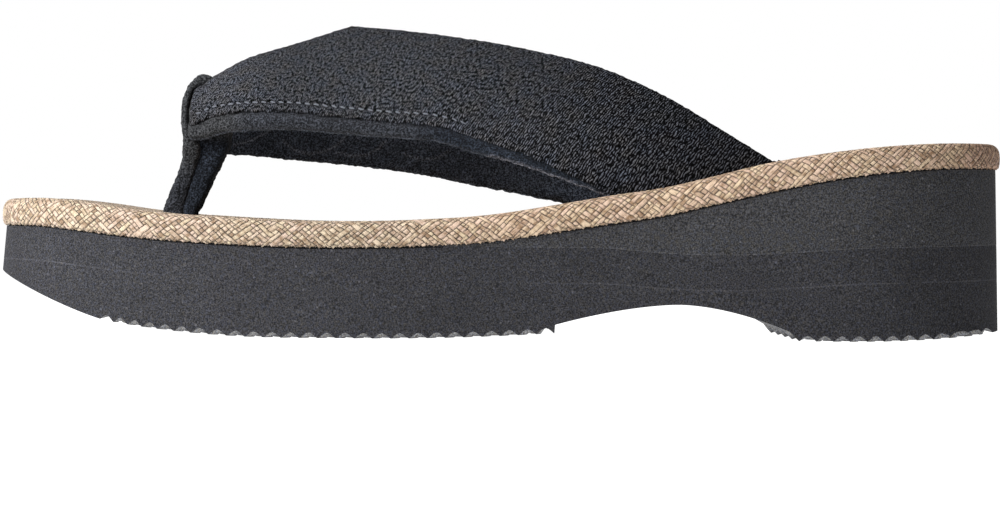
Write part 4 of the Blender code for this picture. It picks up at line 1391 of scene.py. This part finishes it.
def felt_tint(settings, places, normals, crease, frayed, front_layer):
    """Colour of the felt at each place: painted light at the toe and on the hood, blue and painted paler in the
    lining, painted shade behind the post and on the rear lip.
    """
    x, y, z = places.T
    inward = -np.sign(y - POST_Y) * normals[:, 1] - normals[:, 2]
    # These masks place the painted shade: round the post's rear layer, and on the rear of the lips.
    post = smooth_step((POST_REACH - np.abs(y - POST_Y)) / 0.8) * smooth_step((POST_TOP - z) / 3)
    rear_lip_shade = smooth_step((x - REAR_LIP_START) / 12) * smooth_step((0.65 - inward) / 0.5)
    painted_toe_light = smooth_step((z - HOOD_START) / 8) if front_layer else smooth_step((TOE_END - x) / 8) * (1 - post)
    tint = np.tile(settings.felt_colour[:], (len(x), 1))
    for colour, share in (
        # Painted light at the toe and on the hood.
        (settings.painted_toe_light_colour, painted_toe_light),
        # Blue felt, painted paler against its shade, where it faces the foot or down.
        (settings.lining_colour, smooth_step((inward - 0.1) / 0.5) * (not front_layer)),
        # Painted shade behind the post and on the rear lip.
        (settings.painted_shade_colour, np.maximum(post * (not front_layer), rear_lip_shade)),
        # Pale along the creases: rubbed nap, and a painted highlight.
        (settings.glint_colour, CREASE_PALE * crease**2),
        (settings.edge_colour, frayed),
    ):
        tint += share[:, None] * (np.array(colour[:]) - tint)
    # Painted light and shade along the shoe, on the outer lip and on the lining.
    lip, lining = (np.interp(x, *zip(*table)) for table in (LIP_PAINTED_SHADING_ROWS, LINING_PAINTED_SHADING_ROWS))
    return tint if front_layer else tint * np.where(y < POST_Y, lip, lining)[:, None]


def felted(context, name, sources, voxel, material):
    """Melts closed meshes into one felt piece with soft edges, lumps and creases."""
    whole = bmesh.new()
    for source in sources:
        data = mesh_data("felt_part", source)
        whole.from_mesh(data)
        bpy.data.meshes.remove(data)
    made = piece(name, whole, material, ["upper", "toe_post"])
    melt = made.modifiers.new("felted together", "REMESH")
    melt.mode = "VOXEL"
    melt.voxel_size = voxel * MM
    soften = made.modifiers.new("soft edges", "SMOOTH")
    soften.factor = 0.5
    soften.iterations = FELT_SMOOTH
    graph = context.evaluated_depsgraph_get()
    data = bpy.data.meshes.new_from_object(made.evaluated_get(graph))
    made.modifiers.clear()
    old = made.data
    made.data = data
    bpy.data.meshes.remove(old)
    data.materials.clear()
    data.materials.append(material)
    places, normals = np.empty(len(data.vertices) * 3), np.empty(len(data.vertices) * 3)
    data.vertices.foreach_get("co", places)
    data.vertices.foreach_get("normal", normals)
    places, normals = places.reshape(-1, 3) / MM, normals.reshape(-1, 3)
    crease, frayed = creased(places, normals), frayed_edge(places)
    lift = CREASE_HEIGHT * crease + EDGE_RISE * frayed
    lift += FELT_LUMPS * noise_at(places, LUMP_CELLS) + FELT_NAP * noise_at(places, NAP_CELLS)
    data.vertices.foreach_set("co", ((places + normals * lift[:, None]) * MM).ravel())
    # The tint holds the felt's own colours together with its painted light and shade.
    tint = felt_tint(context.scene.setta_straps, places, normals, crease, EDGE_PALE * frayed, name == FRONT_LAYER)
    data.attributes.new("tint", "FLOAT_VECTOR", "POINT").data.foreach_set("vector", tint.ravel())
    data.update()
    data.shade_smooth()


class SETTA_OT_felt(bpy.types.Operator):
    """Builds the felt: both linings with their lips and the post's rear layer, and the post's front layer"""

    bl_idname = "setta.felt"
    bl_label = "Felt lining and toe post"

    def execute(self, context):
        material = felt_material()
        bands = [felt_mesh(strap) for strap in STRAPS.values()] + [post_mesh(POST_REAR)]
        felted(context, "felt_lining", bands, LINING_VOXEL, material)
        felted(context, FRONT_LAYER, [post_mesh(POST_FRONT)], POST_VOXEL, material)
        return {"FINISHED"}


# ---- The stitches ----


class SETTA_OT_stitches(bpy.types.Operator):
    """Sews the running stitch along each strap's hem"""

    bl_idname = "setta.stitches"
    bl_label = "Hem stitches"

    def execute(self, context):
        settings = context.scene.setta_straps
        material = thread_material(settings)
        for name, strap in STRAPS.items():
            mesh = bmesh.new()
            for start, end, up in sewn(strap, settings):
                way = (end - start).normalized()
                turn = Matrix((way, up.cross(way).normalized(), up)).transposed().to_4x4()
                shape = Matrix.Diagonal(((end - start).length / 2, STITCH_RADIUS, STITCH_RADIUS, 1))
                place = Matrix.Scale(MM, 4) @ Matrix.Translation((start + end) / 2) @ turn @ shape
                bmesh.ops.create_uvsphere(mesh, u_segments=10, v_segments=8, radius=1.0, matrix=place)
            bmesh.ops.recalc_face_normals(mesh, faces=mesh.faces)
            piece("stitches_" + name, mesh, material)
        return {"FINISHED"}


# ---- Stage ----

CAMERA_PLACE = (-0.0002, -0.950, 0.0277)
CAMERA_TILT = math.radians(90 - 0.574)
CAMERA_ROLL = math.radians(0.52)
CAMERA_LENS = 143.75
LIGHT_TARGET = (-0.06, 0.0, 0.03)
WHITE = (1.0, 1.0, 1.0)


class SETTA_OT_stage(bpy.types.Operator):
    """Sets the camera low at the outer side, a pale floor, a soft light at the toe side and even fill"""

    bl_idname = "setta.stage"
    bl_label = "Stage"

    def execute(self, context):
        settings = context.scene.setta_stage
        scene = context.scene
        lens = bpy.data.cameras.new("camera")
        lens.lens = CAMERA_LENS
        lens.sensor_width = 36.0
        lens.clip_start, lens.clip_end = 0.01, 60.0
        scene.camera = linked("camera", lens)
        scene.camera.matrix_world = (
            Matrix.Translation(CAMERA_PLACE)
            @ Matrix.Rotation(CAMERA_TILT, 4, "X")
            @ Matrix.Rotation(CAMERA_ROLL, 4, "Z")
        )

        mesh = bmesh.new()
        bmesh.ops.create_grid(mesh, x_segments=2, y_segments=2, size=20.0)
        glow = {"Emission_Color": WHITE, "Emission_Strength": settings.floor_glow}
        paint = new_material("pale_floor", Base_Color=(0.4, 0.4, 0.4), Roughness=0.9, Specular_IOR_Level=0.0, **glow)
        floor = linked("floor", mesh_data("floor", mesh, paint[0]))
        floor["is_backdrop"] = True

        world = bpy.data.worlds.new("studio")
        scene.world = world
        world.use_nodes = True
        tree = world.node_tree
        tree.nodes.clear()
        seen = add(tree, "Background", {"Color": WHITE, "Strength": 1.0}).outputs[0]
        fill = add(tree, "Background", {"Color": (0.96, 0.98, 1.0), "Strength": settings.fill}).outputs[0]
        both = add(tree, "MixShader", {0: add(tree, "LightPath").outputs["Is Camera Ray"], 1: fill, 2: seen})
        add(tree, "OutputWorld", {"Surface": both.outputs[0]})

        for name, place, size, power in (
            ("key", (-0.32, -0.26, 0.20), 0.18, settings.key_power),
            ("top", (-0.15, -0.25, 0.90), 0.70, settings.top_power),
            ("back", (-0.40, 0.25, 0.55), 0.40, settings.back_power),
        ):
            lamp = bpy.data.lights.new(name, "AREA")
            lamp.energy = power
            lamp.size = size
            light = linked(name, lamp)
            light.location = place
            light.rotation_euler = (Vector(LIGHT_TARGET) - Vector(place)).to_track_quat("-Z", "Y").to_euler()
        scene.view_settings.view_transform = "Standard"
        return {"FINISHED"}


class SETTA_PT_panel(bpy.types.Panel):
    """Lists the sandal's pieces and settings"""

    bl_idname = "SETTA_PT_panel"
    bl_label = "Setta sandal"
    bl_space_type = "VIEW_3D"
    bl_region_type = "UI"
    bl_category = "Sandal"

    def draw(self, context):
        for title, (name, settings, operators) in GROUPS.items():
            box = self.layout.box()
            box.label(text=title)
            for setting in settings.__annotations__:
                box.prop(getattr(context.scene, name), setting)
            for operator in operators:
                box.operator(operator.bl_idname)


# Each box of the panel: its settings, and its operators in the order that main calls them.
GROUPS = {
    "Sole": ("setta_sponge", SpongeSettings, [SETTA_OT_sponge_sole]),
    "Footbed": ("setta_straw", StrawSettings, [SETTA_OT_footbed]),
    "Straps": ("setta_straps", StrapSettings, [SETTA_OT_cloth, SETTA_OT_felt, SETTA_OT_stitches]),
    "Stage": ("setta_stage", StageSettings, [SETTA_OT_stage]),
}
CLASSES = [kind for _, settings, operators in GROUPS.values() for kind in (settings, *operators)] + [SETTA_PT_panel]


def register():
    for kind in CLASSES:
        bpy.utils.register_class(kind)
    for name, settings, _ in GROUPS.values():
        setattr(bpy.types.Scene, name, PointerProperty(type=settings))


def unregister():
    for name, _, _ in GROUPS.values():
        delattr(bpy.types.Scene, name)
    for kind in reversed(CLASSES):
        bpy.utils.unregister_class(kind)


def main():
    """Registers the add-on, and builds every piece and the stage."""
    register()
    for _, _, operators in GROUPS.values():
        for operator in operators:
            group, name = operator.bl_idname.split(".")
            getattr(getattr(bpy.ops, group), name)()
    boxes = {"cad": CAD_BOX, "visual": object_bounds()}
    {name: [list(corner) for corner in box] for name, box in boxes.items()}


if __name__ == "__main__":
    main()
